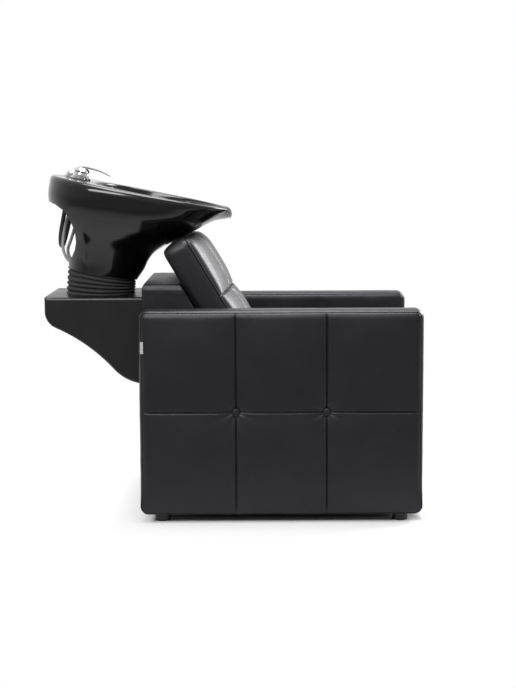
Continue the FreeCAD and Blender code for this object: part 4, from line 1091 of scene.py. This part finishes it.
class OBJECT_OT_backwash_bellows(bpy.types.Operator):
    """The rubber bellows between the console and the basin"""

    bl_idname = "object.backwash_bellows"
    bl_label = "Bellows"

    def execute(self, context):
        s = basin_settings()
        low, high = Vector((HINGE.x, 0, CONSOLE_TOP)), basin_place() @ Vector((0, 0, FOOT_Z))
        rows = RIB_ROWS * s.ribs

        def spot_at(turn, row):
            t, c, n = row / rows, math.cos(turn), math.sin(turn)
            bulge = math.sin(math.pi * t)
            round_way = Vector((c, n, 5.0))
            drift = 0.16 * bulge * noise.noise(round_way)
            rib = abs(math.cos(math.pi * (s.ribs * t + drift))) ** 0.7
            uneven = 1 + 0.3 * noise.noise(round_way * 1.7)
            out = BELLOWS_R - s.rib_depth * (1 - rib) * uneven
            slack = BELLOWS_SLACK * bulge * noise.noise(Vector((c * 1.3, n * 1.3, t * 3)))
            lean = Matrix.Rotation(TILT * t, 4, "Y")
            return low.lerp(high, t) + lean @ Vector((out * c, out * n, slack))

        piece = wrapped_grid("rubber_bellows", BELLOWS_AROUND, rows, spot_at)
        thicken(piece, BELLOWS_WALL)
        smooth(piece)
        dress(piece, finish_for("black_rubber"), None, ["bellows"])
        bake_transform(piece)
        return {"FINISHED"}


# ---------------------------------------------------------------- hoses


SUPPLY_R, WASTE_R, SHOWER_R = 0.005, 0.019, 0.007


def in_basin(x, y, z):
    return basin_place() @ Vector((x, y, z))


def route_line(name, route):
    """The smooth line of a hose: a spline with the route's points as its control points, read as points."""
    curve = bpy.data.curves.new(name, "CURVE")
    curve.dimensions = "3D"
    spline = curve.splines.new("NURBS")
    spline.points.add(len(route) - 1)
    for point, spot in zip(spline.points, route):
        point.co = (*spot, 1.0)
    spline.order_u = 3
    spline.use_endpoint_u = True
    spline.resolution_u = 14
    holder = bpy.data.objects.new(name, curve)
    bpy.context.scene.collection.objects.link(holder)
    mesh = bpy.data.meshes.new_from_object(holder)
    line = [v.co.copy() for v in mesh.vertices]
    bpy.data.objects.remove(holder)
    bpy.data.meshes.remove(mesh)
    return line


def hose_tube(name, line, radius, sides=20):
    """A tube whose rings follow a line, turned as little as may be from ring to ring."""
    frames = []
    side = None
    for i, spot in enumerate(line):
        ahead = line[min(i + 1, len(line) - 1)] - line[max(i - 1, 0)]
        ahead.normalize()
        if side is None:
            side = ahead.orthogonal().normalized()
        side = (side - ahead * side.dot(ahead)).normalized()
        frames.append((spot, side.copy(), ahead.cross(side)))

    def spot_at(turn, row):
        spot, a, b = frames[row]
        return spot + (a * math.cos(turn) + b * math.sin(turn)) * radius

    piece = wrapped_grid(name, sides, len(line) - 1, spot_at)
    open_for_edit(piece)
    bpy.ops.mesh.region_to_loop()
    bpy.ops.mesh.fill_holes(sides=0)
    close_edit()
    smooth(piece, 50)
    return piece


def line_length(line):
    return sum((b - a).length for a, b in zip(line, line[1:]))


class OBJECT_OT_backwash_hoses(bpy.types.Operator):
    """Supply, waste and hand shower hoses"""

    bl_idname = "object.backwash_hoses"
    bl_label = "Hoses"

    def execute(self, context):
        loops = {"hot": (1, [(-0.112, 0.012, 0.176), (-0.118, 0.014, 0.116), (-0.128, 0.015, 0.066)]),
                 "cold": (-1, [(-0.139, -0.019, 0.196), (-0.143, -0.019, 0.122), (-0.134, -0.016, 0.062)])}
        for name, (side, loop) in loops.items():
            route = [in_basin(-0.117, side * 0.0075, 0.276), in_basin(-0.117, side * 0.0075, 0.246)]
            route += [in_basin(*spot) for spot in loop] + [in_basin(-0.087, side * 0.014, 0.028)]
            route += [Vector(spot) for spot in (
                (-0.456, side * 0.024, 0.675), (-0.446, side * 0.034, 0.621), (-0.384, side * 0.056, 0.577),
                (-0.254, side * 0.060, 0.553), (-0.176, side * 0.070, 0.491), (-0.156, side * 0.074, 0.411),
                (-0.156, side * 0.074, 0.105))]
            self.lay(name, route, SUPPLY_R, "grey_hose", ("chair", "basin"),
                     Vector((-0.47, 0, 0.64)), Vector((-0.52, 0, 0.83)))
        lower = in_basin(DRAIN_X, 0, 0.010)
        route = [in_basin(DRAIN_X, 0, 0.060), lower, Vector((lower.x - 0.004, 0, 0.611)),
                 Vector((lower.x + 0.046, 0, 0.553)), Vector((-0.234, 0, 0.539)), Vector((-0.156, 0, 0.469)),
                 Vector((-0.156, 0, 0.105))]
        self.lay("waste", route, WASTE_R, "grey_hose", ("chair", "basin"), Vector((-0.39, 0, 0.62)), lower)
        route = [in_basin(*spot) for spot in (
            (-0.131, 0, 0.276), (-0.130, 0, 0.240), (-0.134, 0.009, 0.180), (-0.138, 0.015, 0.118),
            (-0.143, 0.030, 0.084), (-0.154, 0.052, 0.084), (-0.162, 0.064, 0.118), (-0.162, 0.066, 0.183),
            (-0.162, 0.066, 0.229))]
        self.lay("shower", route, SHOWER_R, "black_rubber", ("basin", "handset"),
                 in_basin(-0.162, 0.066, 0.084), in_basin(-0.162, 0.1106, 0.0993))
        return {"FINISHED"}

    def lay(self, name, route, radius, slot, bodies, start, end):
        line = route_line(name + "_route", route)
        piece = hose_tube(name + "_supply_hose" if slot == "grey_hose" else name + "_rubber_hose", line, radius)
        dress(piece, finish_for(slot), None, [name + "_hose"])
        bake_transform(piece)
        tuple(line[0])
        line_length(line)


# ---------------------------------------------------------------- other nodes


class OBJECT_OT_backwash_finishes(bpy.types.Operator):
    """The finishes of the pieces that keep their made shape"""

    bl_idname = "object.backwash_finishes"
    bl_label = "Finishes"

    def execute(self, context):
        for row in frame["record"]["subparts"]:
            node = NODES[row["node"]]
            material = finish_for(row["material_slot"])
            if not node.data.materials:
                node.data.materials.append(material)
            for i in range(len(node.data.materials)):
                node.data.materials[i] = material
        return {"FINISHED"}


# ---------------------------------------------------------------- stage


FLOOR_R = 1.86
# Name, place, what it faces, width, height, power
LAMPS = (
    ("top_softbox", (0.1, -0.2, 3.2), (0.0, 0.0, 0.6), 1.8, 1.8, 95),
    ("camera_softbox", (-1.0, -2.9, 2.9), (0.0, 0.0, 0.7), 1.8, 1.2, 75),
    ("front_softbox", (2.7, 1.5, 2.2), (0.0, 0.0, 0.8), 1.7, 1.7, 172),
)
EYE, LENS, SENSOR = (0.0846, -4.730, 1.116), 76.55, 36.0
PITCH, ROLL = math.radians(90 - 7.3), math.radians(-0.25)


class OBJECT_OT_backwash_stage(bpy.types.Operator):
    """Floor, soft studio light, white surround and the camera"""

    bl_idname = "object.backwash_stage"
    bl_label = "Stage"

    def execute(self, context):
        scene = context.scene
        scene.view_settings.view_transform = "Standard"
        clear_selection()
        bpy.ops.mesh.primitive_circle_add(vertices=96, radius=FLOOR_R, fill_type="NGON")
        floor = named("studio_floor")
        floor.data.materials.append(studio_floor())
        self.surround(scene)
        for row in LAMPS:
            self.lamp(*row)
        self.camera(scene)
        return {"FINISHED"}

    def surround(self, scene):
        world = bpy.data.worlds.new("white_surround")
        scene.world = world
        world.use_nodes = True
        tree = world.node_tree
        tree.nodes.clear()
        # A white room, dimmer behind the camera; rays to the eye see plain white
        way = parts_of(tree, add(tree, "ShaderNodeTexCoord").outputs["Generated"])
        rise = graded(tree, way["Z"], -0.15, 0.3, 0.32, 0.55)
        depth = add(tree, "ShaderNodeMapRange", {"From Min": -0.5, "From Max": 0.45, "To Max": 1.0},
                    Value=way["Y"], To_Min=rise)
        seen = seen_straight(tree, add(tree, "ShaderNodeLightPath").outputs)
        strength = calc(tree, "MAXIMUM", depth.outputs["Result"], seen)
        glow = add(tree, "ShaderNodeBackground", {"Color": (1, 1, 1, 1)}, Strength=strength)
        output = add(tree, "ShaderNodeOutputWorld")
        tree.links.new(glow.outputs[0], output.inputs["Surface"])

    def lamp(self, name, spot, target, wide, tall, power):
        data = bpy.data.lights.new(name, "AREA")
        data.shape, data.size, data.size_y, data.energy = "RECTANGLE", wide, tall, power
        lamp = bpy.data.objects.new(name, data)
        bpy.context.scene.collection.objects.link(lamp)
        lamp.location = spot
        lamp.rotation_euler = (Vector(target) - Vector(spot)).to_track_quat("-Z", "Y").to_euler()

    def camera(self, scene):
        data = bpy.data.cameras.new("photo_camera")
        data.lens, data.sensor_width = LENS, SENSOR
        eye = bpy.data.objects.new("photo_camera", data)
        scene.collection.objects.link(eye)
        eye.location = EYE
        eye.rotation_euler = (Matrix.Rotation(PITCH, 3, "X") @ Matrix.Rotation(ROLL, 3, "Z")).to_euler()
        scene.camera = eye


def seen_straight(tree, path):
    """1 for rays that come from the eye, 0 for those that come from another surface."""
    return calc(tree, "MAXIMUM", path["Is Camera Ray"], path["Is Transmission Ray"])


def studio_floor():
    """Painted studio floor: matt white, seen as white where no shadow falls, with painted shadow darkening its colour
    under the chair.
    """
    material = bpy.data.materials.new("studio_floor")
    material.use_nodes = True
    tree = material.node_tree
    tree.nodes.clear()
    path = add(tree, "ShaderNodeLightPath").outputs
    parts = parts_of(tree, add(tree, "ShaderNodeTexCoord").outputs["Object"])
    # Painted light: the glow that the object mirrors fades toward the unlit end of the room; what the eye sees is
    # white
    pool = graded(tree, parts["Y"], -1.25, -0.60, 0.26, 0.85)
    clear = seen_straight(tree, path)
    glow = add(tree, "ShaderNodeEmission", {"Color": (1, 1, 1, 1)}, Strength=calc(tree, "MAXIMUM", clear, pool))
    seen = calc(tree, "MAXIMUM", clear, path["Is Glossy Ray"])
    # Distance out from the chair's foot, which counts for more at its two ends
    low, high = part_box("right_arm_cover")
    ends = ("X", (low.x + high.x) / 2 + 0.02, (high.x - low.x) / 2, 2.4)
    sides = ("Y", 0.0, -low.y, 1.0)
    out = []
    for axis, middle, half, rate in (ends, sides):
        wide = calc(tree, "ABSOLUTE", calc(tree, "SUBTRACT", parts[axis], middle))
        out.append(calc(tree, "MULTIPLY_ADD", wide, rate, -rate * half))
    reach = calc(tree, "MAXIMUM", *out)
    # Painted shadow: the floor's colour is darkened to 0.3 of itself under the chair
    under = graded(tree, reach, -0.10, -0.03)
    floor_and_shadow = add(tree, "ShaderNodeMix", {"data_type": "RGBA", 6: shade(colours().floor, 0.3),
                                        7: linear(colours().floor)}, i0=under)
    matt = add(tree, "ShaderNodeBsdfDiffuse", Color=floor_and_shadow.outputs[2])
    # The glow grows to plain white a short way out from the chair's foot, fast at first; the shadow, the lamps' own
    # and the painted one, shows only where the glow is less
    fade = graded(tree, reach, -0.045, -0.008, high=0.40)
    spread = graded(tree, reach, 0.0, 0.28, high=0.60)
    amount = calc(tree, "MULTIPLY", seen, calc(tree, "ADD", fade, spread))
    mix = add(tree, "ShaderNodeMixShader", i0=amount, i1=matt.outputs[0], i2=glow.outputs[0])
    output = add(tree, "ShaderNodeOutputMaterial")
    tree.links.new(mix.outputs[0], output.inputs["Surface"])
    return material


# ---------------------------------------------------------------- panel and order


class VIEW3D_PT_backwash(bpy.types.Panel):
    bl_label = "Backwash Unit"
    bl_idname = "VIEW3D_PT_backwash"
    bl_space_type = "VIEW_3D"
    bl_region_type = "UI"
    bl_category = "Backwash"

    def draw(self, context):
        for group in (padding(), basin_settings(), colours()):
            box = self.layout.box()
            for name in group.__annotations__:
                box.prop(group, name)
        for operator in PIECES:
            self.layout.operator(operator.bl_idname)


PIECES = (
    OBJECT_OT_backwash_stage,
    OBJECT_OT_backwash_finishes,
    OBJECT_OT_backwash_hoses,
    OBJECT_OT_backwash_arms,
    OBJECT_OT_backwash_buttons,
    OBJECT_OT_backwash_tag,
    OBJECT_OT_backwash_seat,
    OBJECT_OT_backwash_backrest,
    OBJECT_OT_backwash_apron,
    OBJECT_OT_backwash_rear_box,
    OBJECT_OT_backwash_basin,
    OBJECT_OT_backwash_bellows,
)
CLASSES = (BackwashPadding, BackwashBasin, BackwashColours) + PIECES + (VIEW3D_PT_backwash,)


def register():
    for made in CLASSES:
        bpy.utils.register_class(made)
    bpy.types.Scene.backwash_padding = bpy.props.PointerProperty(type=BackwashPadding)
    bpy.types.Scene.backwash_basin = bpy.props.PointerProperty(type=BackwashBasin)
    bpy.types.Scene.backwash_colours = bpy.props.PointerProperty(type=BackwashColours)


def unregister():
    del bpy.types.Scene.backwash_colours
    del bpy.types.Scene.backwash_basin
    del bpy.types.Scene.backwash_padding
    for made in reversed(CLASSES):
        bpy.utils.unregister_class(made)


def main():
    register()
    for operator in PIECES:
        group, name = operator.bl_idname.split(".")
        getattr(getattr(bpy.ops, group), name)()
    clear_selection()


if __name__ == "__main__":
    main()
